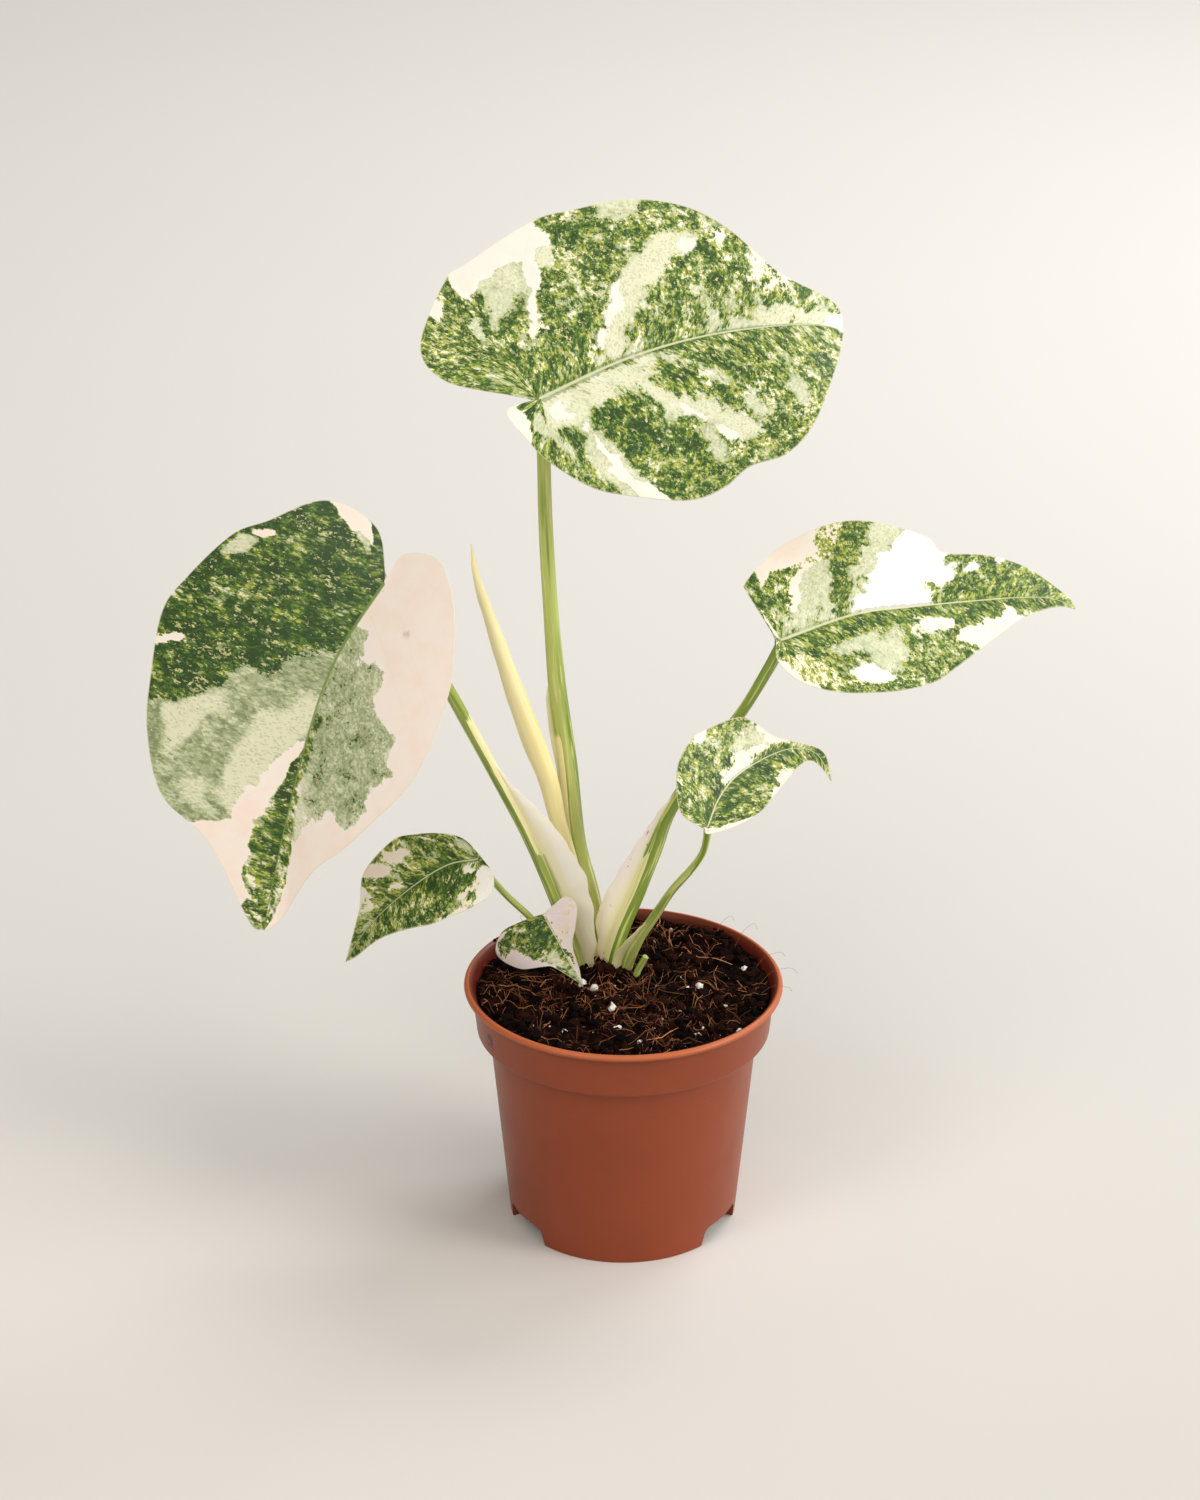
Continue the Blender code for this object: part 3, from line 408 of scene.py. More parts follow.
class Paint:
    """A material with one surface shader, built up from expressions."""

    def __init__(self, name, roughness=0.5):
        self.material = bpy.data.materials.new(name)
        self.material.use_nodes = True
        self.tree = self.material.node_tree
        self.shader = self.tree.nodes["Principled BSDF"]
        self.shader.inputs["Roughness"].default_value = roughness

    def node(self, kind, settings=None, inputs=None, output=0):
        """Any node: its settings are made first, then the values or links of its sockets."""
        made = self.tree.nodes.new(kind)
        for key, value in (settings or {}).items():
            if key == "stops":
                ramp = made.color_ramp
                for place, colour in value[2:]:
                    ramp.elements.new(place).color = colour
                for element, (place, colour) in zip(ramp.elements, value[:2]):
                    element.position = place
                    element.color = colour
            else:
                setattr(made, key, value)
        for key, value in (inputs or {}).items():
            if isinstance(value, Socket):
                self.tree.links.new(value.link, made.inputs[key])
            else:
                made.inputs[key].default_value = value
        return Socket(self, made.outputs[output])

    def attribute(self, name, output="Vector"):
        return self.node("ShaderNodeAttribute", {"attribute_name": name}, output=output)

    def object_place(self):
        return self.node("ShaderNodeTexCoord", output="Object")

    def split(self, vector):
        parts = self.node("ShaderNodeSeparateXYZ", inputs={0: vector})
        return [Socket(self, end) for end in parts.link.node.outputs]

    def stretch(self, vector, scale):
        return self.node("ShaderNodeVectorMath", {"operation": 'MULTIPLY'}, {0: vector, 1: scale})

    def noise(self, vector, size, detail=3.0, roughness=0.55, output=0):
        """Soft noise whose patches are about as wide as size, in the vector's unit."""
        return self.node("ShaderNodeTexNoise", {"noise_dimensions": '3D'},
                         {"Vector": vector, "Scale": 1.0 / size, "Detail": detail,
                          "Roughness": roughness}, output)

    def cells(self, vector, size, output="Position"):
        return self.node("ShaderNodeTexVoronoi", {"voronoi_dimensions": '3D'},
                         {"Vector": vector, "Scale": 1.0 / size}, output)

    def mix(self, first, second, share):
        return self.node("ShaderNodeMix", {"data_type": 'RGBA'},
                         {0: share, 6: first, 7: second}, 2)

    def bump(self, height, distance, strength=1.0):
        return self.node("ShaderNodeBump", inputs={"Height": height, "Distance": distance,
                                                   "Strength": strength})

    def finish(self, **inputs):
        for key, value in inputs.items():
            socket = self.shader.inputs[key.replace("_", " ")]
            if isinstance(value, Socket):
                self.tree.links.new(value.link, socket)
            else:
                socket.default_value = value
        return self.material


def make_piece(name, bm, materials, node=None, sharp=40.0):
    """An object from a bmesh in millimetres about the pot's axis, placed in its mesh."""
    bmesh.ops.scale(bm, verts=bm.verts[:], vec=(MM, MM, MM))
    bmesh.ops.translate(bm, verts=bm.verts[:], vec=AXIS)
    mesh = bpy.data.meshes.new(name)
    bm.to_mesh(mesh)
    bm.free()
    mesh.shade_smooth()
    mesh.set_sharp_from_angle(angle=math.radians(sharp))
    piece = bpy.data.objects.new(name, mesh)
    bpy.context.scene.collection.objects.link(piece)
    for material in materials:
        mesh.materials.append(material)
    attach(piece, "root")
    if node:
        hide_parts(node)
    return piece


def smooth_curve(points, per_span=12):
    """Points along a smooth curve through the given points, ends included."""
    knots = [Vector(p) for p in points]
    knots = [2 * knots[0] - knots[1], *knots, 2 * knots[-1] - knots[-2]]
    curve = []
    for before, start, end, after in zip(knots, knots[1:], knots[2:], knots[3:]):
        for step in range(per_span):
            t = step / per_span
            curve.append(0.5 * (2 * start + (end - before) * t
                                + (2 * before - 5 * start + 4 * end - after) * t ** 2
                                + (3 * start - before - 3 * end + after) * t ** 3))
    curve.append(knots[-2])
    return curve


def curve_length(curve):
    return sum((b - a).length for a, b in zip(curve, curve[1:]))


def evenly(curve, count):
    """count + 1 points at even distances along a curve."""
    lengths = [0.0]
    for a, b in zip(curve, curve[1:]):
        lengths.append(lengths[-1] + (b - a).length)
    points, span = [], 0
    for i in range(count + 1):
        want = lengths[-1] * i / count
        while span < len(curve) - 2 and lengths[span + 1] < want:
            span += 1
        t = (want - lengths[span]) / max(lengths[span + 1] - lengths[span], 1e-9)
        points.append(curve[span].lerp(curve[span + 1], clamp(t)))
    return points


def read_table(table, height):
    """The size at a height, from (height, size) pairs in rising order, eased between them."""
    if height <= table[0][0]:
        return table[0][1]
    for (low, a), (high, b) in zip(table, table[1:]):
        if height <= high:
            return a + (b - a) * ease((height - low) / (high - low))
    return table[-1][1]


def blade_axes(leaf):
    """The midrib's direction, the direction to its left and the normal of a blade's plane."""
    turn, tilt = (math.radians(v) for v in leaf["faces"])
    normal = Vector((math.sin(turn) * math.cos(tilt), -math.cos(turn) * math.cos(tilt),
                     math.sin(tilt)))
    level = Vector((0, 0, 1)).cross(normal).normalized()
    upward = normal.cross(level)
    head = math.radians(leaf["heading"])
    along = math.cos(head) * level + math.sin(head) * upward
    return along, normal.cross(along), normal


def blade_height(leaf, a, c):
    """How far the blade stands over its plane: fold, roll, arch, drooping ends and waves."""
    u = clamp(a / leaf["length"])
    off = c - 4 * leaf["bow"] * u * (1 - u)
    side = 0 if off > 0 else 1
    height = math.tan(math.radians(leaf["fold"][side])) * (math.hypot(off, 2.0) - 2.0)
    height -= leaf["roll"][side] * off * off / 100
    height -= (leaf["arch"] if a > 0 else leaf["sag"]) * a * a / 100
    beyond = a / leaf["length"] - leaf["tip_from"]
    if beyond > 0:
        height -= leaf["tip_drop"] * (beyond / (1 - leaf["tip_from"])) ** 2
    size, count, phase, reach = leaf["wave"]
    around = math.atan2(c, a - 0.3 * leaf["length"])
    out = math.hypot(c, a - 0.3 * leaf["length"]) / reach
    return height + size * out * out * math.sin(count * around + math.radians(phase))


def half_blade(leaf, outline):
    """For each side vein its points (along, across), its length and its place along the rim."""
    rim = evenly(smooth_curve(outline), leaf["rows"])
    rib = evenly(smooth_curve(leaf["midrib"]), 600)
    half = []
    for i, margin in enumerate(rim):
        s = i / leaf["rows"]
        k = round(600 * max(0.0, (s - VEIN_START) / (1 - VEIN_START)))
        start = rib[k]
        forward = (rib[min(k + 6, 600)] - rib[max(k - 6, 0)]).normalized()
        chord = margin - start
        sweep = VEIN_SWEEP * ease((s - 0.2) / 0.3) * chord.length
        bend = start + 0.5 * chord - sweep * forward
        half.append((start, bend, margin, chord.length, forward))
    return half


def vein_place(vein, t):
    start, bend, margin = vein[:3]
    return start * (1 - t) ** 2 + bend * (2 * t * (1 - t)) + margin * t ** 2


def sector_share(sector, s, t, soft_s, soft_t):
    """How far a point of a half blade belongs to a sector, from 0 to 1."""
    inner, outer, low, high = sector[1:5]
    if t < inner - soft_t or t > outer + soft_t:
        return 0.0
    share = clamp((t - inner) / (outer - inner))
    if len(sector) > 5:
        low += (sector[5] - low) * share
        high += (sector[6] - high) * share
    return (clamp(0.5 + (t - inner) / soft_t) * clamp(0.5 + (outer - t) / soft_t)
            * clamp(0.5 + (s - low) / soft_s) * clamp(0.5 + (high - s) / soft_s))


def tint_at(sectors, s, t, place, rim_length, vein_length, amount):
    """The four tint values at a point, with the wandering edges that variegation has."""
    wide = noise.noise_vector(place / 9.0)
    fine = noise.noise_vector(place / 2.6)
    wander = amount * Vector((3.2 * wide.x + 1.5 * fine.x, 4.0 * wide.y + 2.2 * fine.y))
    reach = rim_length * max(t, 0.3)
    s += wander.x / reach
    t += wander.y / max(vein_length, 8.0) if t > 0.02 else 0.0
    values = Vector(TINTS[sectors[0]])
    for sector in sectors[1:]:
        share = sector_share(sector, s, t, 2.4 / reach, 3.0 / max(vein_length, 8.0))
        if share > 0:
            values = values.lerp(Vector(TINTS[sector[0]]), share)
    return values


def fan_turns(half, rows):
    """How far each vein of the fan round the notch is turned away from the fan's last one."""
    turns = [0.0] * (rows + 1)
    for i in range(round(VEIN_START * rows) - 1, -1, -1):
        later, vein = (half[k][2] - half[k][0] for k in (i + 1, i))
        turns[i] = turns[i + 1] + math.atan2(later.cross(vein), later.dot(vein))
    return turns


def blade_bmesh(name, leaf, look, settings):
    """A fine blade: quilted between its side veins, grooved over the midrib, ribbed below."""
    bm = bmesh.new()
    grain = bm.verts.layers.float_vector.new("grain")
    rib = bm.verts.layers.float_vector.new("rib")
    marks = bm.verts.layers.float_color.new("marks")
    depth = bm.verts.layers.float.new("depth")
    halves = {side: half_blade(leaf, leaf[side]) for side in ("left", "right")}
    lengths = {side: curve_length(smooth_curve(leaf[side])) for side in halves}
    turns = {side: fan_turns(half, leaf["rows"]) for side, half in halves.items()}
    rib_length = curve_length(smooth_curve(leaf["midrib"]))
    size = clamp(rib_length / 115.0, 0.3, 1.0)
    along, left, normal = blade_axes(leaf)
    joint = Vector(leaf["joint"])
    across, rows = leaf["across"], leaf["rows"]
    bmesh.ops.create_grid(bm, x_segments=2 * across, y_segments=rows, size=1.0)
    seed = 7.0 * len(name) + leaf["length"]
    for vert in bm.verts:
        side = "left" if vert.co.x >= 0 else "right"
        if abs(vert.co.x) < 1e-6:
            side = look.get("spine", "left")
        t = abs(vert.co.x) ** 1.2
        row = round((vert.co.y + 1) / 2 * rows)
        s = row / rows
        vein = halves[side][row]
        spot = vein_place(vein, t)
        rim_length = lengths[side]
        q = s - VEIN_SWEEP * 4 * s * (1 - s) * t
        laterals = q * settings.side_veins
        ridge = 0.5 - 0.5 * math.cos(2 * math.pi * laterals)
        near = 0.5 * (1 - math.exp(-(t * vein[3] / 3.0) ** 2)) + 0.5
        grown = ease((s - 0.25) / 0.2) * ease((1.0 - s) / 0.1) * ease((1.0 - t) / 0.25)
        quilt = settings.relief * look["quilt"] * size * (ridge - 0.5) * grown * min(1.0, t * vein[3] / 6.0)
        taper = ease((1.0 - s) / 0.75) if s > VEIN_START else 1.0
        groove = 0.16 * size * taper * math.exp(-(t * vein[3] / (1.1 * size)) ** 2)
        height = blade_height(leaf, spot.x, spot.y) + quilt - (groove if s > 0.3 else 0.0)
        middle = max(0.25, 1.25 * size * (1 - max(0.0, s - VEIN_START) / (1 - VEIN_START)) ** 0.7)
        offset = t * vein[3]
        if s < VEIN_START:
            offset = max(spot.length, 0.0)
            middle = 0.9 * size
        knuckle = clamp(1.6 - spot.length / 3.0)
        under = 1.0 * (middle / 1.25) * math.exp(-(offset / (1.3 * middle)) ** 2)
        lateral = 0.22 * size * (1 - ridge) ** 6 * grown * near
        wall = settings.thickness * (1.0 - 0.55 * ease((t - 0.75) / 0.25))
        vert[depth] = wall + max(under, lateral, 1.1 * ease(knuckle))
        runs = look["runs"][side == "right"]
        ahead = (vein[2] - vein[0]).normalized() + look["sweep"] * math.exp(-offset / 25) * vein[4]
        drawn = (1 - runs[0]) * runs[1] * (1 - math.exp(-offset / runs[1]))
        place = spot - drawn * ahead.normalized()
        swing = look.get("fan", 0.0) * turns[side][row]
        place = Matrix.Rotation(swing, 2) @ place
        vert[grain] = (place.x, place.y / look.get("lengthen", (1.0, 1.0))[side == "right"],
                       seed + 5.0 * swing)
        edge = (1 - t) * max(vein[3], 0.5)
        vert[rib] = (offset / middle, edge, laterals)
        vert[marks] = tint_at(look[side], s, t, Vector((spot.x, spot.y, seed)), rim_length,
                              vein[3], look.get("wander", 1.0))
        vert.co = joint + spot.x * along + spot.y * left + height * normal
    bmesh.ops.remove_doubles(bm, verts=bm.verts[:], dist=0.01)
    if sum((face.normal.dot(normal) for face in bm.faces[:200]), 0.0) < 0:
        bmesh.ops.reverse_faces(bm, faces=bm.faces[:])
    lower = bmesh.ops.extrude_face_region(bm, geom=bm.faces[:], use_keep_orig=True)["geom"]
    for vert in [g for g in lower if isinstance(g, bmesh.types.BMVert)]:
        vert.co -= normal * vert[depth]
    for face in [g for g in lower if isinstance(g, bmesh.types.BMFace)]:
        face.material_index = 1
    bmesh.ops.recalc_face_normals(bm, faces=bm.faces[:])
    return bm


def leaf_material(name, look, spacing, settings, under=False):
    """Variegation in three layers: white tissue, sage below the skin and green over it."""
    paint = Paint(name)
    grain = paint.attribute("grain")
    to_rib, to_edge, laterals = paint.split(paint.attribute("rib"))
    sage, cover, depth = paint.split(paint.attribute("marks", "Color"))
    blush = paint.attribute("marks", "Alpha")
    crumb = paint.split(paint.cells(grain, 0.85, "Color"))
    speck = paint.split(paint.cells(grain, 0.45, "Color"))
    patches = paint.noise(grain, 6.5, 4.0, 0.62)
    clouds = paint.noise(grain, 2.6, 3.0, 0.6)
    soft = paint.noise(grain, 11.0, 3.0, 0.6)
    level = (cover - 0.5 + 1.5 * (patches - 0.5) + 0.9 * (clouds - 0.5)
             + 0.36 * (crumb[0] - 0.5) + 0.24 * (speck[0] - 0.5))
    green = level.rise(-0.015, 0.02)
    below = (sage - 0.5 + 1.6 * (clouds - 0.5) + 0.8 * (soft - 0.5)
             + 0.16 * (speck[1] - 0.5)).rise(-0.12, 0.12)
    petal = paint.mix(srgb(*look.get("petal", (255, 240, 225))), srgb(255, 228, 206), soft.rise(0.42, 0.62) * 0.4)
    white = paint.mix(srgb(255, 249, 242), petal, blush.rise(0.0, 0.9))
    white = paint.mix(white, srgb(150, 95, 70), blush.rise(1.1, 1.6) * 0.5)
    white = paint.mix(white, srgb(244, 238, 176), level.rise(-0.3, 0.0) * 0.8)
    mottle = (0.8 * (soft - 0.5) + 1.1 * (patches - 0.5) + 1.0 * (clouds - 0.5)
              + 0.5 * (crumb[2] - 0.5))
    haze = depth + (depth + 0.5) * mottle
    misty = paint.mix(srgb(233, 231, 197), tuple(settings.sage) + (1.0,), haze.rise(-0.1, 0.4))
    misty = paint.mix(misty, srgb(172, 180, 136), haze.rise(0.3, 0.6))
    misty = paint.mix(misty, srgb(136, 146, 104), haze.rise(0.6, 1.0))
    misty = paint.mix(misty, srgb(140, 160, 104), speck[1].rise(0.72, 0.85) * 0.35)
    misty = paint.mix(misty, srgb(226, 226, 176), speck[2].rise(0.82, 0.9) * 0.4)
    ground = paint.mix(white, misty, below)
    tone = (depth - 0.1 + 0.5 * level + 2.1 * (clouds - 0.5) + 1.3 * (patches - 0.5)
            + 0.56 * (crumb[2] - 0.5) + 0.44 * (speck[1] - 0.5))
    blade = paint.mix(srgb(182, 184, 80), srgb(118, 142, 54), tone.rise(0.16, 0.42))
    blade = paint.mix(blade, tuple(settings.green) + (1.0,), tone.rise(0.4, 0.68))
    blade = paint.mix(blade, srgb(42, 68, 28), tone.rise(0.68, 1.05) * 0.9)
    bits = paint.mix(srgb(150, 166, 112), srgb(232, 222, 156), crumb[1].rise(0.35, 0.75))
    flecks = paint.noise(grain, 1.7, 3.0, 0.7)
    picked = flecks + 0.12 * (speck[2] - 0.5) + 0.6 * (patches - 0.5)
    blade = paint.mix(blade, bits, picked.rise(0.615, 0.655) * 0.85)
    colour = paint.mix(ground, blade, green)
    line = abs((laterals + 0.5).fraction() - 0.5) * spacing
    veins = line.fall(0.1, 0.45) * to_edge.rise(1.0, 9.0)
    colour = paint.mix(colour, srgb(176, 186, 120), veins * 0.06)
    rib_tint = {"pale": srgb(222, 222, 172), "green": srgb(120, 144, 66)}[look["vein"]]
    flank = (to_rib.fall(0.9, 2.6) + 0.8 * (crumb[0] - 0.5)).rise(0.35, 0.6)
    colour = paint.mix(colour, srgb(70, 102, 48), flank * look["shade"])
    colour = paint.mix(colour, rib_tint, to_rib.fall(0.35, 0.75) * 0.85)
    colour = paint.mix(colour, srgb(236, 228, 190), to_edge.fall(0.1, 0.5) * 0.5)
    if under:
        colour = paint.mix(colour, srgb(196, 204, 164), 0.42)
        bump = paint.bump(clouds * 0.5 + veins * 1.2, 0.0003, 0.7)
        return paint.finish(Base_Color=colour, Roughness=0.62, Normal=bump)
    bump = paint.bump(clouds * 0.6 + green * 0.25 - veins * 0.2, 0.0002, 0.4)
    rough = settings.gloss + 0.14 * (clouds - 0.5) + 0.05 * green
    return paint.finish(Base_Color=colour, Roughness=rough, Normal=bump, Specular_IOR_Level=0.36)


def wrapped_grid(bm, rings, dist=0.01, closed=True):
    """A grid laid over rings of points, its first column joined to its last."""
    around = len(rings[0])
    made = bmesh.ops.create_grid(bm, x_segments=around, y_segments=len(rings) - 1, size=1.0)
    for vert in made["verts"]:
        i = round((vert.co.y + 1) / 2 * (len(rings) - 1))
        k = round((vert.co.x + 1) / 2 * around) % around
        vert.co = rings[i][k]
        yield vert, i, k
    bmesh.ops.remove_doubles(bm, verts=made["verts"], dist=dist)
    if closed:
        edges = [e for e in bm.edges if e.is_boundary]
        bmesh.ops.holes_fill(bm, edges=edges, sides=0)


ROUND = 26
WING = 9


def stalk_ring(stalk, centre, tangent, radius, wing, twist):
    """A ring round a stalk with its sheath, and how far out on the sheath each point is."""
    right = (Vector((1, 0, 0)) - tangent * tangent.x).normalized()
    front = right.cross(tangent)

    def spot(degrees, distance, start=Vector((0, 0, 0))):
        angle = math.radians(degrees)
        return start + distance * (math.cos(angle) * right + math.sin(angle) * front)

    def grooved(degrees):
        return radius * (1.0 + 0.025 * math.sin(math.radians(9 * degrees + 60))
                         + 0.015 * math.sin(math.radians(14 * degrees)))

    if stalk["wing"] is None:
        angles = [360 * k / ROUND for k in range(ROUND)]
        if twist is not None:
            ring = [spot(twist + a, radius * (0.9 + 0.1 * (a / 360) ** 0.5)) for a in angles]
            return [centre + p for p in ring], [0.0] * ROUND, [twist + a for a in angles]
        return [centre + spot(a, grooved(a)) for a in angles], [0.0] * ROUND, angles
    half_gap = 24.0
    turn, curl = stalk["turn"], stalk["curl"]
    angles = [turn + half_gap + (360 - 2 * half_gap) * k / (ROUND - 1) for k in range(ROUND)]
    ring = [spot(a, grooved(a)) for a in angles]
    shown = min(1.0, max(0.0, wing / 1.5))
    wing *= 1.0 + 0.05 * noise.noise(centre / 5.0)
    at, way = spot(turn, 0.9 * radius), turn
    lower, upper = [], []
    for step in range(1, WING + 1):
        at = spot(way, wing / WING, at)
        way += curl / WING
        thick = 0.42 * (1.0 - 0.7 * (step / WING) ** 1.5)
        share = half_gap * (1 - step / (WING + 0.7))
        lower.append(spot(turn - share, radius).lerp(spot(way - 90, thick, at), shown))
        upper.append(spot(turn + share, radius).lerp(spot(way + 90, thick, at), shown))
    out = [step / WING * shown for step in range(1, WING + 1)]
    return ([centre + p for p in ring + lower + upper[::-1]], [0.0] * ROUND + out + out[::-1],
            angles + [turn] * (2 * WING))


def stalk_bmesh(name, stalk, sections):
    """A stalk swept along its path, up into the knuckle of the leaf that it holds."""
    centres = evenly(smooth_curve(stalk["path"]), sections)
    bm = bmesh.new()
    fibre = bm.verts.layers.float_vector.new("fibre")
    tone = bm.verts.layers.float_color.new("tone")
    rings, outs, turns = [], [], []
    length, lengths = 0.0, []
    for i, centre in enumerate(centres):
        before, after = centres[max(i - 1, 0)], centres[min(i + 1, sections)]
        tangent = (after - before).normalized()
        length += (centre - before).length
        lengths.append(length)
        radius = read_table(stalk["radius"], centre.z)
        wing = read_table(stalk["wing"], centre.z) if stalk["wing"] else 0.0
        twist = 150.0 + 0.5 * centre.z if name == "new_leaf" else None
        ring, out, angles = stalk_ring(stalk, centre, tangent, radius, wing, twist)
        if i == sections and stalk["leaf"]:
            leaf = LEAVES[stalk["leaf"]]
            normal = blade_axes(leaf)[2]
            seat = Vector(leaf["joint"]) + (blade_height(leaf, 0, 0) - 0.95) * normal
            ring = [seat + (p - centre) - tangent * ((p - centre).dot(normal)
                                                     / tangent.dot(normal)) for p in ring]
        rings.append(ring)
        outs.append(out)
        turns.append(angles)
    for vert, i, k in wrapped_grid(bm, rings):
        z = centres[i].z
        angle = turns[i][k]
        cream = 0.0
        for low, high, towards, spread, amount in stalk["cream"]:
            apart = abs((angle - towards + 180) % 360 - 180)
            here = ease((z - low) / 6 + 1) * ease((high - z) / 16) * ease((spread - apart) / 18 + 1)
            cream = max(cream, amount * here)
        away = vert.co - centres[i]
        vert[fibre] = (away.x, away.y, lengths[i])
        seam = 0.0
        if name == "new_leaf":
            seam = clamp(1.0 - k / 2.0)
        # The tone holds the blanched share, how far out on the sheath a point is, a share near the soil that the
        # materials paint cream-yellow, partly as painted light, and the rolled leaf's seam, painted as shade.
        vert[tone] = (cream, outs[i][k], clamp(1.0 - (z - 92.0) / 40.0), seam)
    bmesh.ops.recalc_face_normals(bm, faces=bm.faces[:])
    return bm


def stalk_material(name, settings, sheath, sheath_edge, light, fleck=0.0):
    """Green stalk with pale lengthwise stripes and a thin sheath that pales to its edge."""
    paint = Paint(name)
    fibre = paint.attribute("fibre")
    cream, wing, foot = paint.split(paint.attribute("tone", "Color"))
    lengthwise = paint.stretch(fibre, (1.0, 1.0, 0.035))
    stripes = paint.noise(lengthwise, 1.1, 3.0, 0.65)
    broad = paint.noise(lengthwise, 2.6, 2.0, 0.5)
    fine = paint.noise(paint.stretch(fibre, (1.0, 1.0, 0.2)), 0.5, 2.0, 0.6)
    green = paint.mix(tuple(settings.green) + (1.0,), light, broad.rise(0.32, 0.52))
    green = paint.mix(green, srgb(212, 212, 130), stripes.rise(0.54, 0.62) * 0.85)
    pale = paint.mix(srgb(246, 236, 178), srgb(218, 218, 136), stripes.rise(0.5, 0.7))
    colour = paint.mix(green, pale, (cream + 0.9 * (stripes - 0.5)).rise(0.42, 0.55))
    leafy = paint.mix(sheath, sheath_edge, (wing + 0.8 * (broad - 0.5)).rise(0.15, 0.7))
    # Near the soil the sheath turns cream-yellow: its own colour, made light and strong as painted light where the
    # leaves above shade it.
    leafy = paint.mix(leafy, srgb(255, 240, 160), foot * 0.6)
    if fleck:
        dark = paint.noise(paint.stretch(fibre, (1.0, 1.0, 0.3)), 1.6, 3.0, 0.7)
        leafy = paint.mix(leafy, srgb(92, 70, 48), dark.rise(0.66, 0.7) * fleck)
    colour = paint.mix(colour, leafy, (wing + 0.25 * (stripes - 0.5)).rise(0.05, 0.22))
    bump = paint.bump(stripes * 0.7 + fine * 0.3, 0.0003, 0.6)
    rough = 0.38 + 0.2 * (fine - 0.5)
    return paint.finish(Base_Color=colour, Roughness=rough, Normal=bump)


def rolled_material(name, settings):
    """The rolled new leaf: cream, yellower and greener in streaks, with a shaded seam."""
    paint = Paint(name)
    fibre = paint.attribute("fibre")
    seam = paint.attribute("tone", "Alpha")
    foot = paint.split(paint.attribute("tone", "Color"))[2]
    lengthwise = paint.stretch(fibre, (1.0, 1.0, 0.03))
    stripes = paint.noise(lengthwise, 1.6, 3.0, 0.6)
    broad = paint.noise(lengthwise, 4.0, 2.0, 0.5)
    colour = paint.mix(tuple(settings.cream) + (1.0,), srgb(250, 232, 160), broad.rise(0.4, 0.65))
    colour = paint.mix(colour, srgb(244, 228, 140), stripes.rise(0.56, 0.7) * 0.5)
    # Near the soil the rolled leaf turns yellower: its own colour, kept bright as painted light where the leaves above
    # shade it.
    colour = paint.mix(colour, srgb(255, 222, 136), foot * 0.5)
    colour = paint.mix(colour, srgb(164, 150, 84), seam * 0.6)
    bump = paint.bump(stripes, 0.0003, 0.5)
    return paint.finish(Base_Color=colour, Roughness=0.4 + 0.1 * (stripes - 0.5), Normal=bump)


def turned(profile, steps):
    """A solid of revolution about the pot's axis from a closed profile of (radius, height)."""
    bm = bmesh.new()
    verts = [bm.verts.new((r, 0, z)) for r, z in profile]
    edges = [bm.edges.new((a, b)) for a, b in zip(verts, verts[1:] + verts[:1])
             if a.co.x > 0 or b.co.x > 0]
    bmesh.ops.spin(bm, geom=edges, cent=(0, 0, 0), axis=(0, 0, 1), angle=2 * math.pi,
                   steps=steps, use_merge=True, use_duplicate=False)
    bmesh.ops.remove_doubles(bm, verts=bm.verts[:], dist=0.005)
    bmesh.ops.recalc_face_normals(bm, faces=bm.faces[:])
    return bm


def body_inner_radius(z):
    """Inner radius of the pot's wall at a height."""
    if z < BAND_FOOT_HEIGHT:
        slope = (BODY_TOP_RADIUS - FOOT_RADIUS) / BAND_FOOT_HEIGHT
        return FOOT_RADIUS + slope * z - WALL
    slope = (BAND_TOP_RADIUS - BAND_FOOT_RADIUS) / (POT_HEIGHT - BAND_FOOT_HEIGHT)
    return BAND_FOOT_RADIUS + slope * (z - BAND_FOOT_HEIGHT) - WALL


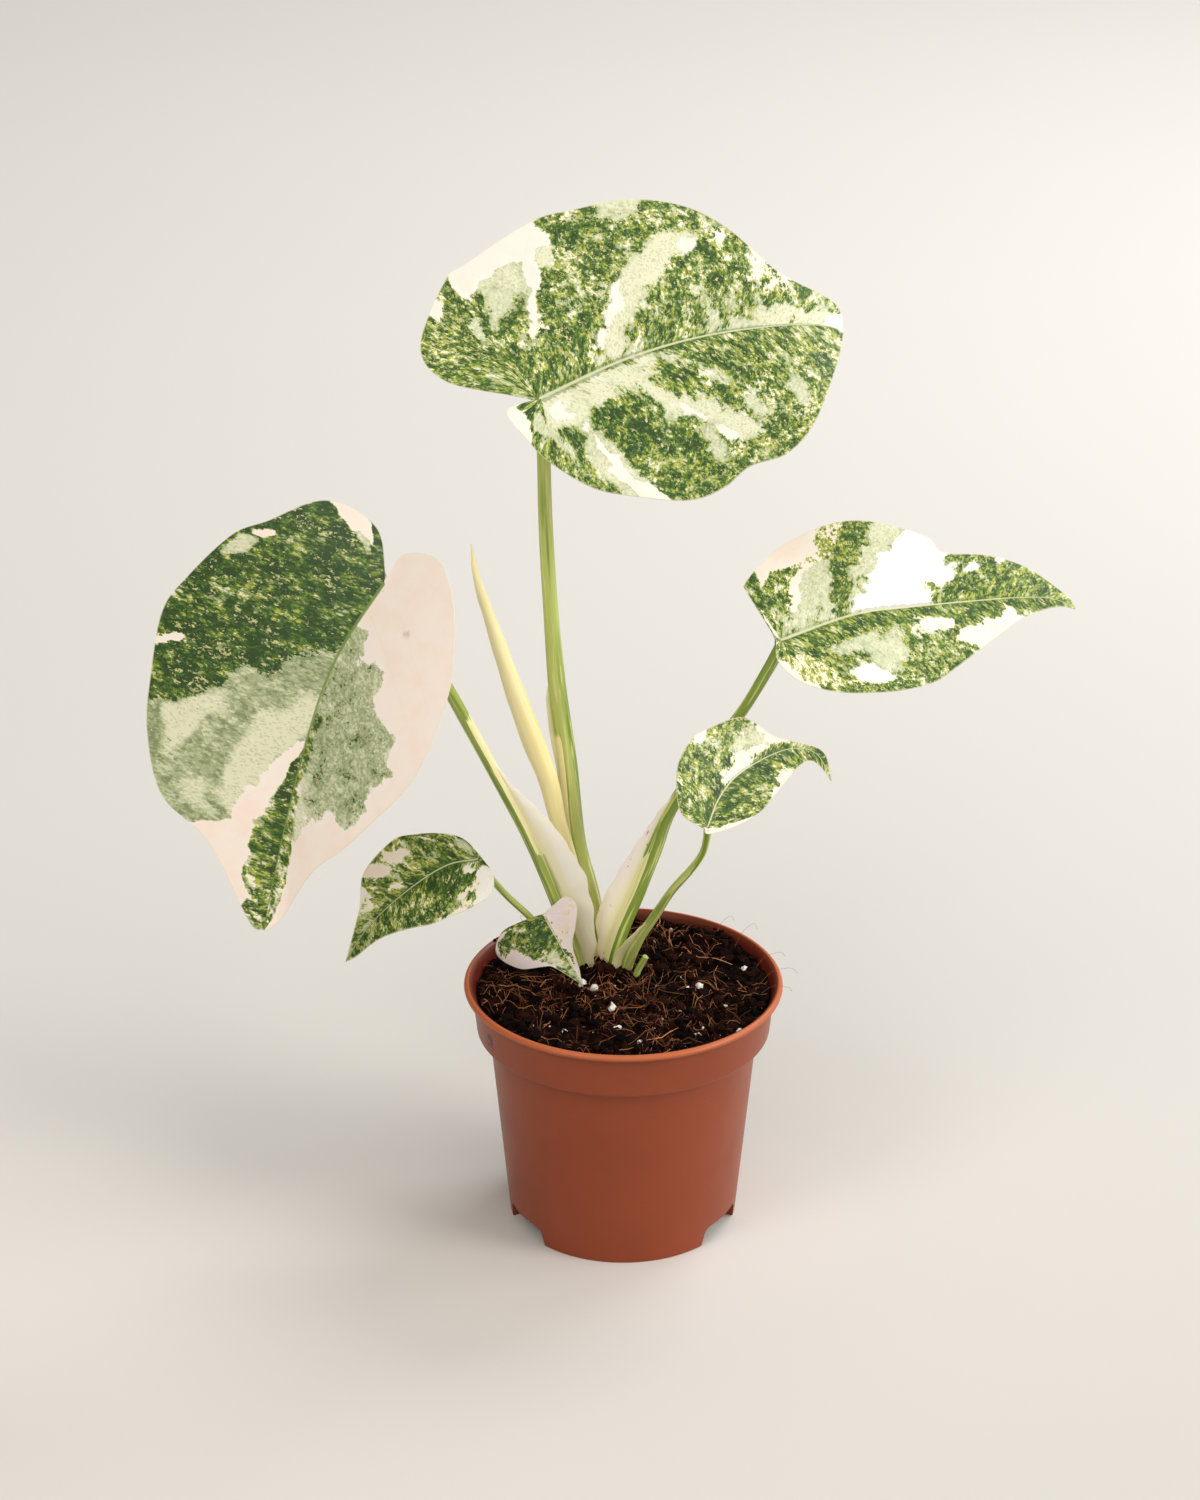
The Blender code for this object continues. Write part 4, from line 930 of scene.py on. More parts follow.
def pot_profile():
    """Half of the pot's cross-section, with its rolled lip and its stepped band."""
    floor_top = FLOOR_UNDERSIDE + FLOOR_THICKNESS
    step = BAND_FOOT_HEIGHT
    outer = [(FOOT_RADIUS - 0.4, 0), (FOOT_RADIUS, 0.5), (FOOT_RADIUS + 0.03, 1.0)]
    for k in range(1, 24):
        z = 1.0 + (step - 3.4) * k / 24
        outer.append((FOOT_RADIUS + (BODY_TOP_RADIUS - FOOT_RADIUS) * z / (step - 2.2), z))
    outer += [(BODY_TOP_RADIUS, step - 2.2), (BODY_TOP_RADIUS + 0.2, step - 1.4),
              (BODY_TOP_RADIUS + 0.7, step - 0.7), (BODY_TOP_RADIUS + 1.3, step - 0.25),
              (BODY_TOP_RADIUS + 2.2, step), (BAND_FOOT_RADIUS - 1.2, step + 0.2),
              (BAND_FOOT_RADIUS - 0.5, step + 0.5), (BAND_FOOT_RADIUS - 0.1, step + 1.0),
              (BAND_FOOT_RADIUS, step + 1.6)]
    low, high = step + 1.6, POT_HEIGHT - 3.4
    for k in range(1, 6):
        share = k / 6
        outer.append((BAND_FOOT_RADIUS + (BAND_TOP_RADIUS - BAND_FOOT_RADIUS) * share,
                      low + (high - low) * share))
    outer += [(BAND_TOP_RADIUS, high), (BAND_TOP_RADIUS + 0.6, POT_HEIGHT - 3.15),
              (LIP_RADIUS - 1.5, POT_HEIGHT - 3.0), (LIP_RADIUS - 0.7, POT_HEIGHT - 2.6),
              (LIP_RADIUS - 0.2, POT_HEIGHT - 2.1), (LIP_RADIUS, POT_HEIGHT - 1.5),
              (LIP_RADIUS - 0.1, POT_HEIGHT - 0.9), (LIP_RADIUS - 0.45, POT_HEIGHT - 0.4),
              (LIP_RADIUS - 0.95, POT_HEIGHT - 0.1), (LIP_RADIUS - 1.4, POT_HEIGHT),
              (LIP_RADIUS - 1.95, POT_HEIGHT - 0.15), (LIP_RADIUS - 2.5, POT_HEIGHT - 0.55),
              (LIP_RADIUS - 3.0, POT_HEIGHT - 1.2), (LIP_RADIUS - 3.4, POT_HEIGHT - 2.0)]
    inner = [(body_inner_radius(POT_HEIGHT - 5), POT_HEIGHT - 5),
             (body_inner_radius(step + 2.4), step + 2.4), (BAND_FOOT_RADIUS - 3.0, step + 1.6),
             (BODY_TOP_RADIUS, step + 1.2), (BODY_TOP_RADIUS - 1.1, step),
             (body_inner_radius(step - 2.4), step - 2.4),
             (body_inner_radius(floor_top + 1.5), floor_top + 1.5),
             (body_inner_radius(floor_top) - 1.4, floor_top), (0, floor_top),
             (0, FLOOR_UNDERSIDE), (FOOT_RADIUS - FOOT_WALL - 0.3, FLOOR_UNDERSIDE)]
    return [(FOOT_RADIUS - FOOT_WALL, 0)] + outer + inner


def notch_cutter(angle):
    """A rounded arch pushed outwards through the pot's foot."""
    middle = math.radians(angle)
    bm = bmesh.new()
    shape = [(-NOTCH_HALF_WIDTH, -2.0), (NOTCH_HALF_WIDTH, -2.0)]
    for k in range(9):
        bend = math.radians(90 * k / 8)
        shape.append((NOTCH_HALF_WIDTH - 4.5 + 3.2 * math.cos(bend),
                      NOTCH_HEIGHT - 3.2 + 3.2 * math.sin(bend)))
    shape += [(-x, z) for x, z in shape[:1:-1]]
    face = bm.faces.new([bm.verts.new((36, x, z)) for x, z in shape])
    moved = bmesh.ops.extrude_face_region(bm, geom=[face])["geom"]
    for vert in [g for g in moved if isinstance(g, bmesh.types.BMVert)]:
        vert.co.x += 14
    bmesh.ops.rotate(bm, verts=bm.verts[:], matrix=Matrix.Rotation(middle, 3, 'Z'))
    return bm


def drain_cutter(angle):
    """A round hole through the pot's floor."""
    bm = bmesh.new()
    bmesh.ops.create_cone(bm, cap_ends=True, segments=28, radius1=DRAIN_RADIUS,
                          radius2=DRAIN_RADIUS, depth=4)
    at = Vector((DRAIN_CIRCLE * math.cos(angle), DRAIN_CIRCLE * math.sin(angle),
                 FLOOR_UNDERSIDE + 0.7))
    bmesh.ops.translate(bm, verts=bm.verts[:], vec=at)
    return bm


def cut(piece, cutters):
    """The piece's mesh with the cutters taken out of it, and the cutters gone."""
    made = []
    for bm in cutters:
        bmesh.ops.recalc_face_normals(bm, faces=bm.faces[:])
        bmesh.ops.scale(bm, verts=bm.verts[:], vec=(MM, MM, MM))
        bmesh.ops.translate(bm, verts=bm.verts[:], vec=AXIS)
        mesh = bpy.data.meshes.new("cutter")
        bm.to_mesh(mesh)
        bm.free()
        cutter = bpy.data.objects.new("cutter", mesh)
        bpy.context.scene.collection.objects.link(cutter)
        made.append(cutter)
        change = piece.modifiers.new("cut", 'BOOLEAN')
        change.operation = 'DIFFERENCE'
        change.object = cutter
    bpy.context.view_layer.update()
    result = bpy.data.meshes.new_from_object(
        piece.evaluated_get(bpy.context.evaluated_depsgraph_get()))
    piece.modifiers.clear()
    piece.data = result
    result.shade_smooth()
    result.set_sharp_from_angle(angle=math.radians(35.0))
    for cutter in made:
        bpy.data.objects.remove(cutter, do_unlink=True)


def pot_material(settings):
    """Satin moulded plastic: faint clouding and specks, with a painted highlight along the lip and painted shade on the
    inner wall.
    """
    paint = Paint("terracotta_plastic")
    place = paint.object_place()
    x, y, z = paint.split(place)
    cloud = paint.noise(place, 0.03, 3.0, 0.55)
    specks = paint.cells(place, 0.0042, "Distance")
    chosen = paint.noise(place, 0.009, 2.0, 0.5)
    skin = paint.noise(place, 0.0011, 3.0, 0.6)
    rings = paint.noise(paint.stretch(place, (0.02, 0.02, 1.0)), 0.0012, 2.0, 0.5)
    colour = paint.mix(tuple(settings.plastic) + (1.0,), srgb(130, 56, 26), cloud.rise(0.4, 0.7) * 0.4)
    colour = paint.mix(colour, srgb(104, 48, 32), specks.fall(0.05, 0.1) * chosen.rise(0.55, 0.62) * 0.6)
    near_x = abs(x - AXIS.x - SCRATCH[0] * MM)
    near_z = abs(z - SCRATCH[2] * MM)
    nicks = near_x.fall(0.0005, 0.0015) * near_z.fall(0.002, 0.0036) * y.fall(-0.01, -0.005)
    colour = paint.mix(colour, srgb(60, 24, 18), nicks * skin.rise(0.4, 0.48))
    # Painted highlight: a light orange band painted all round the top of the lip, where light catches it.
    lip = z.rise((POT_HEIGHT - 2.4) * MM, (POT_HEIGHT - 0.8) * MM)
    colour = paint.mix(colour, srgb(206, 112, 66), lip * 0.7)
    # Painted shade: the inner wall above the soil is painted dark red-brown, as the shade inside the pot.
    across_x = x - AXIS.x
    across_y = y - AXIS.y
    out = (across_x * across_x + across_y * across_y).root()
    faces = paint.split(paint.node("ShaderNodeNewGeometry", output="Normal"))
    facing = faces[0] * across_x + faces[1] * across_y
    wall = (facing / out).fall(-0.5, -0.1) * z.rise(0.08, 0.083)
    colour = paint.mix(colour, srgb(96, 30, 22), wall * 0.85)
    bump = paint.bump(skin * 0.35 + cloud * 1.0 + rings * 0.25, 0.0003, 0.35)
    rough = settings.gloss + 0.12 * (cloud - 0.5) + 0.08 * (skin - 0.5)
    return paint.finish(Base_Color=colour, Roughness=rough, Normal=bump, Specular_IOR_Level=0.34)


def soil_height(x, y):
    """Height of the uneven soil, with the mound that the stalks grow out of."""
    out = math.hypot(x, y)
    mound = math.hypot(x - CROWN[0], y - CROWN[1]) / CROWN_SPREAD
    height = SOIL_LEVEL + CROWN_RISE * math.exp(-0.5 * mound * mound)
    height += SOIL_SLOPE * y + 0.3 * SOIL_SLOPE * x + 0.5 * math.sin(0.085 * y - 0.06 * x)
    lumps = (math.sin(0.31 * x + 0.17 * y) * math.sin(0.27 * y - 0.13 * x + 1.3)
             + 0.7 * math.sin(0.47 * x - 0.38 * y + 2.0) * math.sin(0.52 * y + 0.29 * x)
             + 0.5 * math.sin(0.83 * x + 0.4) * math.sin(0.78 * y + 0.9))
    return height + 1.6 * SOIL_ROUGHNESS * lumps * min(1.0, (56.0 - out) / 6.0)


def crumbled(x, y):
    """The soil's height with its crumbs and pits."""
    out = math.hypot(x, y)
    place = Vector((x, y, 3.7))
    rough = 1.3 * noise.noise(place / 11.0) + 2.1 * noise.noise(place / 5.5) + 1.5 * noise.noise(place / 2.3)
    rough += 0.7 * noise.noise(place / 1.0)
    crack = abs(noise.noise(place / 4.0 + Vector((9, 2, 5)))) + 0.15 * noise.noise(place / 1.2)
    rough -= 1.8 * ease(1 - crack / 0.16)
    pit = math.exp(-((x - 4) ** 2 + (y + 50) ** 2) / 18.0)
    clump = 1.6 * math.exp(-((x - 39) ** 2 + (y - 23) ** 2) / 60.0)
    clump += 1.0 * math.exp(-((x + 7) ** 2 + (y + 50) ** 2) / 22.0)
    return soil_height(x, y) + (rough * 0.9 - 2.2 * pit + clump) * min(1.0, (56.2 - out) / 2.0)


def fibrous(x, y):
    """How much coir lies on the soil here, from 0 to 1."""
    share = 0.5 + 1.6 * noise.noise(Vector((x / 9.0, y / 9.0, 8.1)))
    for at_x, at_y, width in HOLLOWS:
        share -= 1.4 * math.exp(-((x - at_x) ** 2 + (y - at_y) ** 2) / width ** 2)
    return clamp(share)


def soil_bmesh(steps, rings):
    """The root ball: a turned body whose top is rough soil."""
    bottom = FLOOR_UNDERSIDE + FLOOR_THICKNESS + 0.3
    levels = [(bottom, -2.0), (bottom + 2.0, 0.0), (BAND_FOOT_HEIGHT - 3.0, 0.0),
              (BAND_FOOT_HEIGHT + 0.6, -4.6), (BAND_FOOT_HEIGHT + 3.2, 0.0)]
    rim = body_inner_radius(SOIL_LEVEL - 1.0) - 0.3
    profile = [(0, bottom)] + [(body_inner_radius(z) - 0.3 + inset, z) for z, inset in levels]
    profile += [(rim * (1 - k / rings), SOIL_LEVEL) for k in range(rings)] + [(0, SOIL_LEVEL)]
    bm = bmesh.new()
    verts = [bm.verts.new((r, 0, z)) for r, z in profile]
    edges = [bm.edges.new(pair) for pair in zip(verts, verts[1:])]
    bmesh.ops.spin(bm, geom=edges, cent=(0, 0, 0), axis=(0, 0, 1), angle=2 * math.pi,
                   steps=steps, use_merge=True, use_duplicate=False)
    bmesh.ops.remove_doubles(bm, verts=bm.verts[:], dist=0.005)
    for vert in bm.verts:
        if vert.co.z > SOIL_LEVEL - 0.1:
            vert.co.z = crumbled(vert.co.x, vert.co.y)
    bmesh.ops.recalc_face_normals(bm, faces=bm.faces[:])
    return bm


def soil_material(settings):
    """Damp peat: near black between its crumbs, partly its own colour and partly painted shade in the gaps, and
    red-brown where it is dry and fibrous.
    """
    paint = Paint("damp_peat")
    place = paint.object_place()
    crumbs = paint.cells(place, 0.0016, "Distance")
    clumps = paint.noise(place, 0.006, 4.0, 0.65)
    fine = paint.noise(place, 0.0011, 4.0, 0.7)
    colour = paint.mix(tuple(settings.peat) + (1.0,), srgb(40, 15, 9), clumps.rise(0.42, 0.7))
    colour = paint.mix(colour, srgb(74, 38, 25), fine.rise(0.58, 0.78) * 0.6)
    # Near black at the edges of small cells, which the bump sinks: the dark of the peat, deepened as painted shade in
    # the gaps between crumbs.
    colour = paint.mix(colour, srgb(14, 8, 7), crumbs.rise(0.45, 0.8) * 0.7)
    bump = paint.bump(fine + clumps * 0.8 - crumbs * 0.6, 0.0012, 0.9)
    return paint.finish(Base_Color=colour, Roughness=0.82 + 0.2 * (fine - 0.5), Normal=bump,
                        Specular_IOR_Level=0.05)


def litter_material(name, dark, light, rough):
    """Bits of one kind, each with a shade of its own between dark and light."""
    paint = Paint(name)
    shade = paint.split(paint.attribute("shade"))[0]
    fine = paint.noise(paint.object_place(), 0.0007, 3.0, 0.6)
    colour = paint.mix(dark, light, shade)
    colour = paint.mix(colour, dark, fine.rise(0.45, 0.7) * 0.35)
    bump = paint.bump(fine, 0.0003, 0.6)
    return paint.finish(Base_Color=colour, Roughness=rough + 0.15 * (fine - 0.5), Normal=bump,
                        Specular_IOR_Level=0.06)


def lumps_bmesh(spots, subdivisions, roughness, squash=0.7):
    """Angular lumps at (place, width, shade), each turned and dented in its own way."""
    bm = bmesh.new()
    shade_layer = bm.verts.layers.float_vector.new("shade")
    for index, (place, width, shade) in enumerate(spots):
        small = bmesh.ops.create_icosphere(bm, subdivisions=subdivisions, radius=width / 2)
        turn = Matrix.Rotation(index * 2.4, 3, Vector((math.sin(index), math.cos(index * 1.7), 0.8)))
        long = 1.0 + 0.35 * math.sin(index * 5.1)
        for vert in small["verts"]:
            dent = noise.noise(vert.co * (2.2 / width) + Vector((index * 3.1, 0, index)))
            spot = turn @ (vert.co * (1.0 + roughness * dent))
            vert.co = Vector((spot.x * long, spot.y, spot.z * squash)) + place
            vert[shade_layer] = (shade, 0, 0)
    return bm


def strand(start, heading, length, width, lift, rng, segments):
    """Centres and widths of one fibre that wanders over the soil."""
    points, at, bend = [], Vector(start), rng.uniform(-0.25, 0.25)
    for k in range(segments + 1):
        share = k / segments
        floor = crumbled(at.x, at.y) + 0.15 if at.xy.length < 55.5 else at.z
        height = floor + lift * math.sin(math.pi * clamp(share * 1.05))
        points.append(Vector((at.x, at.y, height)))
        heading += bend + rng.uniform(-0.1, 0.1)
        at = Vector((at.x + math.cos(heading) * length / segments,
                     at.y + math.sin(heading) * length / segments, height))
    return [(p, width * (1 - 0.55 * (k / segments))) for k, p in enumerate(points)]


def strands_bmesh(strands, sides=3):
    """Thin tubes, each with a shade of its own."""
    bm = bmesh.new()
    shade_layer = bm.verts.layers.float_vector.new("shade")
    for points, shade in strands:
        rings = []
        for k, (centre, width) in enumerate(points):
            before, after = points[max(k - 1, 0)][0], points[min(k + 1, len(points) - 1)][0]
            tangent = (after - before).normalized()
            side = tangent.cross(Vector((0, 0, 1)))
            side = side.normalized() if side.length > 0.01 else Vector((1, 0, 0))
            over = side.cross(tangent)
            rings.append([centre + (width / 2) * (math.cos(2 * math.pi * j / sides) * side
                                                  + math.sin(2 * math.pi * j / sides) * over)
                          for j in range(sides)])
        for vert, _, _ in wrapped_grid(bm, rings, dist=0.001, closed=False):
            vert[shade_layer] = (shade, 0, 0)
    ends = [e for e in bm.edges if e.is_boundary]
    bmesh.ops.holes_fill(bm, edges=ends, sides=sides)
    bmesh.ops.recalc_face_normals(bm, faces=bm.faces[:])
    return bm


class BladeSettings(bpy.types.PropertyGroup):
    thickness: FloatProperty(name="Thickness", description="Blade thickness between veins, in millimetres", default=0.6, min=0.2, max=2.0, unit='NONE')
    relief: FloatProperty(name="Relief", description="Height of the quilting between side veins, in millimetres", default=0.15, min=0.0, max=3.0)
    side_veins: FloatProperty(name="Side veins", description="Side veins along each half of a blade", default=15.0, min=3.0, max=40.0)
    gloss: FloatProperty(name="Roughness", description="Roughness of the upper face", default=0.46, min=0.0, max=1.0, subtype='FACTOR')
    sage: FloatVectorProperty(name="Sage", description="Grey-green under the skin", default=srgb(206, 210, 172)[:3], min=0.0, max=1.0, size=3, subtype='COLOR')
    green: FloatVectorProperty(name="Green", description="Deepest green of the blades", default=srgb(74, 104, 40)[:3], min=0.0, max=1.0, size=3, subtype='COLOR')


class StalkSettings(bpy.types.PropertyGroup):
    sections: IntProperty(name="Sections", description="Rings along each stalk", default=110, min=10, max=400)
    green: FloatVectorProperty(name="Green", description="Green of the stalks", default=srgb(116, 142, 44)[:3], min=0.0, max=1.0, size=3, subtype='COLOR')
    cream: FloatVectorProperty(name="Cream", description="Cream of the rolled new leaf", default=srgb(255, 243, 190)[:3], min=0.0, max=1.0, size=3, subtype='COLOR')


class PotSettings(bpy.types.PropertyGroup):
    steps: IntProperty(name="Steps", description="Faces round the pot", default=168, min=24, max=360)
    plastic: FloatVectorProperty(name="Plastic", description="Colour of the moulded plastic", default=srgb(143, 63, 29)[:3], min=0.0, max=1.0, size=3, subtype='COLOR')
    gloss: FloatProperty(name="Roughness", description="Roughness of the plastic", default=0.38, min=0.0, max=1.0, subtype='FACTOR')


class SoilSettings(bpy.types.PropertyGroup):
    crumbs: IntProperty(name="Crumbs", description="Loose crumbs on the soil", default=1500, min=0, max=4000)
    fibres: IntProperty(name="Fibres", description="Long coir fibres on the soil", default=1300, min=0, max=3000)
    shreds: IntProperty(name="Shreds", description="Short thick shreds on the soil", default=1300, min=0, max=3000)
    peat: FloatVectorProperty(name="Peat", description="Colour of damp peat", default=srgb(15, 7, 5)[:3], min=0.0, max=1.0, size=3, subtype='COLOR')


class StageSettings(bpy.types.PropertyGroup):
    floor: FloatVectorProperty(name="Floor", description="Colour of the plain floor", default=srgb(223, 218, 211)[:3], min=0.0, max=1.0, size=3, subtype='COLOR')
    key: FloatProperty(name="Key light", description="Strength of the soft light from the right", default=1.45, min=0.0)
    top: FloatProperty(name="Top light", description="Strength of the wide light from above and in front", default=1.02, min=0.0)
    back: FloatProperty(name="Back light", description="Power of the lamp behind the plant on its right", default=25.0, min=0.0, unit='POWER')
    left: FloatProperty(name="Left light", description="Power of the small lamp at the front on the left", default=0.85, min=0.0, unit='POWER')
    right: FloatProperty(name="Right light", description="Power of the lamp on the right", default=3.0, min=0.0, unit='POWER')
    world: FloatProperty(name="World light", description="Strength of the even light all round", default=0.255, min=0.0, max=5.0)
    lens: FloatProperty(name="Lens", description="Focal length of the camera", default=85.0, min=10.0, unit='CAMERA')


class MONSTERA_OT_blades(bpy.types.Operator):
    """Makes the six variegated leaf blades"""
    bl_idname = "monstera.blades"
    bl_label = "Leaf blades"

    def execute(self, context):
        settings = context.scene.monstera_blades
        for node, leaf in LEAVES.items():
            look = SECTORS[node]
            name = node.replace("leaf_", "") + "_leaf_blade"
            spacing = curve_length(smooth_curve(leaf["left"])) / settings.side_veins
            bm = blade_bmesh(node, leaf, look, settings)
            top = leaf_material(name + "_upper", look, spacing, settings)
            under = leaf_material(name + "_under", look, spacing, settings, under=True)
            make_piece(name, bm, [top, under], node, sharp=60.0)
        return {'FINISHED'}


class MONSTERA_OT_stalks(bpy.types.Operator):
    """Makes the leaf stalks with their sheaths"""
    bl_idname = "monstera.stalks"
    bl_label = "Leaf stalks"

    def execute(self, context):
        settings = context.scene.monstera_stalks
        plain = stalk_material("stalk_green_striped", settings, srgb(206, 210, 150),
                               srgb(232, 228, 184), srgb(184, 194, 104))
        cream = stalk_material("stalk_cream_sheath", settings, srgb(255, 246, 200),
                               srgb(255, 249, 232), srgb(160, 176, 80))
        white = stalk_material("stalk_white_sheath", settings, srgb(246, 240, 200),
                               srgb(255, 243, 234), srgb(132, 154, 58), 0.8)
        looks = {"stem_left": cream, "stem_right": white}
        for node, stalk in STALKS.items():
            if stalk["leaf"] is None:
                continue
            name = node.replace("stem_", "") + "_leaf_stalk"
            bm = stalk_bmesh(node, stalk, settings.sections)
            make_piece(name, bm, [looks.get(node, plain)], node, sharp=50.0)
        return {'FINISHED'}


class MONSTERA_OT_rolled_leaf(bpy.types.Operator):
    """Makes the rolled new leaf"""
    bl_idname = "monstera.rolled_leaf"
    bl_label = "Rolled new leaf"

    def execute(self, context):
        settings = context.scene.monstera_stalks
        bm = stalk_bmesh("new_leaf", STALKS["new_leaf"], settings.sections)
        look = rolled_material("rolled_leaf_cream", settings)
        make_piece("rolled_leaf", bm, [look], "new_leaf", sharp=50.0)
        return {'FINISHED'}


class MONSTERA_OT_cut_stalk(bpy.types.Operator):
    """Makes the stub of a stalk that was cut off"""
    bl_idname = "monstera.cut_stalk"
    bl_label = "Cut stalk"

    def execute(self, context):
        settings = context.scene.monstera_stalks
        bm = stalk_bmesh("cut_stub", STALKS["cut_stub"], 16)
        look = stalk_material("stub_green", settings, srgb(150, 165, 80), srgb(180, 180, 110),
                              srgb(150, 168, 76))
        make_piece("cut_stalk", bm, [look], "cut_stub", sharp=50.0)
        return {'FINISHED'}


class MONSTERA_OT_pot(bpy.types.Operator):
    """Makes the nursery pot with its notched foot and drain holes"""
    bl_idname = "monstera.pot"
    bl_label = "Nursery pot"

    def execute(self, context):
        settings = context.scene.monstera_pot
        bm = turned(pot_profile(), settings.steps)
        pot = make_piece("nursery_pot", bm, [pot_material(settings)], "pot", 35.0)
        drains = [2 * math.pi * k / DRAIN_COUNT for k in range(DRAIN_COUNT)]
        cut(pot, [notch_cutter(a) for a in NOTCH_ANGLES] + [drain_cutter(a) for a in drains])
        return {'FINISHED'}


class MONSTERA_OT_soil(bpy.types.Operator):
    """Makes the root ball with its rough top"""
    bl_idname = "monstera.soil"
    bl_label = "Soil"

    def execute(self, context):
        bm = soil_bmesh(216, 80)
        look = soil_material(context.scene.monstera_soil)
        make_piece("root_ball", bm, [look], "soil", sharp=60.0)
        return {'FINISHED'}


class MONSTERA_OT_litter(bpy.types.Operator):
    """Makes the crumbs, fibres and perlite that lie on the soil"""
    bl_idname = "monstera.litter"
    bl_label = "Soil litter"

    def execute(self, context):
        settings = context.scene.monstera_soil
        rng = random.Random(41)

        def on_soil(limit=54.0):
            reach, angle = limit * math.sqrt(rng.random()), rng.uniform(0, 2 * math.pi)
            return reach * math.cos(angle), reach * math.sin(angle)

        crumbs = []
        for _ in range(settings.crumbs):
            x, y = on_soil()
            width = rng.choice((0.9, 1.2, 1.6, 2.2, 3.2, 4.6))
            place = Vector((x, y, crumbled(x, y) + 0.15 * width))
            crumbs.append((place, width, rng.random() ** 2 * 0.8))
        for x, y, z, width in RIM_BITS:
            crumbs.append((Vector((x, y, z)), width, 0.15))
        bm = lumps_bmesh(crumbs, 1, 0.5)
        look = litter_material("peat_crumbs", srgb(8, 3, 2), srgb(52, 22, 14), 0.85)
        make_piece("peat_crumbs", bm, [look], sharp=25.0)

        strands = []
        for _ in range(settings.fibres):
            x, y = on_soil(52.0)
            if rng.random() > fibrous(x, y):
                continue
            length = rng.uniform(6.0, 30.0)
            line = strand((x, y, 0), rng.uniform(0, 2 * math.pi), length, rng.choice((0.16, 0.2, 0.24, 0.3, 0.45)),
                          rng.uniform(0.2, 2.2), rng, 8)
            line = [(p, w) for p, w in line if p.xy.length < 55.4]
            if len(line) > 3:
                strands.append((line, rng.random() ** 1.7))
        for direction, beyond, over in STRAY_HAIRS:
            angle = math.radians(direction)
            outward = Vector((math.cos(angle), math.sin(angle), 0))
            aside = Vector((-outward.y, outward.x, 0))
            line = smooth_curve([outward * 51 + Vector((0, 0, SOIL_LEVEL + 0.5)),
                                 outward * 56 + aside * 1.5 + Vector((0, 0, POT_HEIGHT + 0.4 * over)),
                                 outward * (60 + 0.5 * beyond) + Vector((0, 0, POT_HEIGHT + over)),
                                 outward * (60 + beyond) - aside * 2 + Vector((0, 0, POT_HEIGHT + over * 0.7))], 4)
            strands.append(([(p, 0.13) for p in line], 0.4))
        look = litter_material("coir_fibres", srgb(46, 18, 10), srgb(214, 144, 96), 0.65)
        make_piece("coir_fibres", strands_bmesh(strands), [look], sharp=70.0)

        strands = []
        for _ in range(settings.shreds):
            x, y = on_soil(53.5)
            if rng.random() > fibrous(x, y) + 0.15:
                continue
            line = strand((x, y, 0), rng.uniform(0, 2 * math.pi), rng.uniform(1.8, 5.5),
                          rng.uniform(0.3, 0.9), rng.uniform(0.0, 0.6), rng, 3)
            line = [(p, w) for p, w in line if p.xy.length < 55.2]
            if len(line) > 2:
                strands.append((line, rng.random() ** 2))
        look = litter_material("bark_shreds", srgb(16, 6, 4), srgb(104, 50, 31), 0.75)
        make_piece("bark_shreds", strands_bmesh(strands, 4), [look], sharp=30.0)

        grains = []
        for _ in range(60):
            x, y = on_soil()
            width = rng.uniform(0.3, 0.7)
            grains.append((Vector((x, y, crumbled(x, y) + 0.4)), width, 0.6))
        for x, y, width in PERLITE:
            grains.append((Vector((x, y, crumbled(x, y) + 0.3 * width)), width, 0.9))
        bm = lumps_bmesh(grains, 2, 0.9, 0.85)
        look = litter_material("perlite_white", srgb(196, 190, 178), srgb(238, 234, 226), 0.8)
        make_piece("perlite_grains", bm, [look], sharp=22.0)
        return {'FINISHED'}


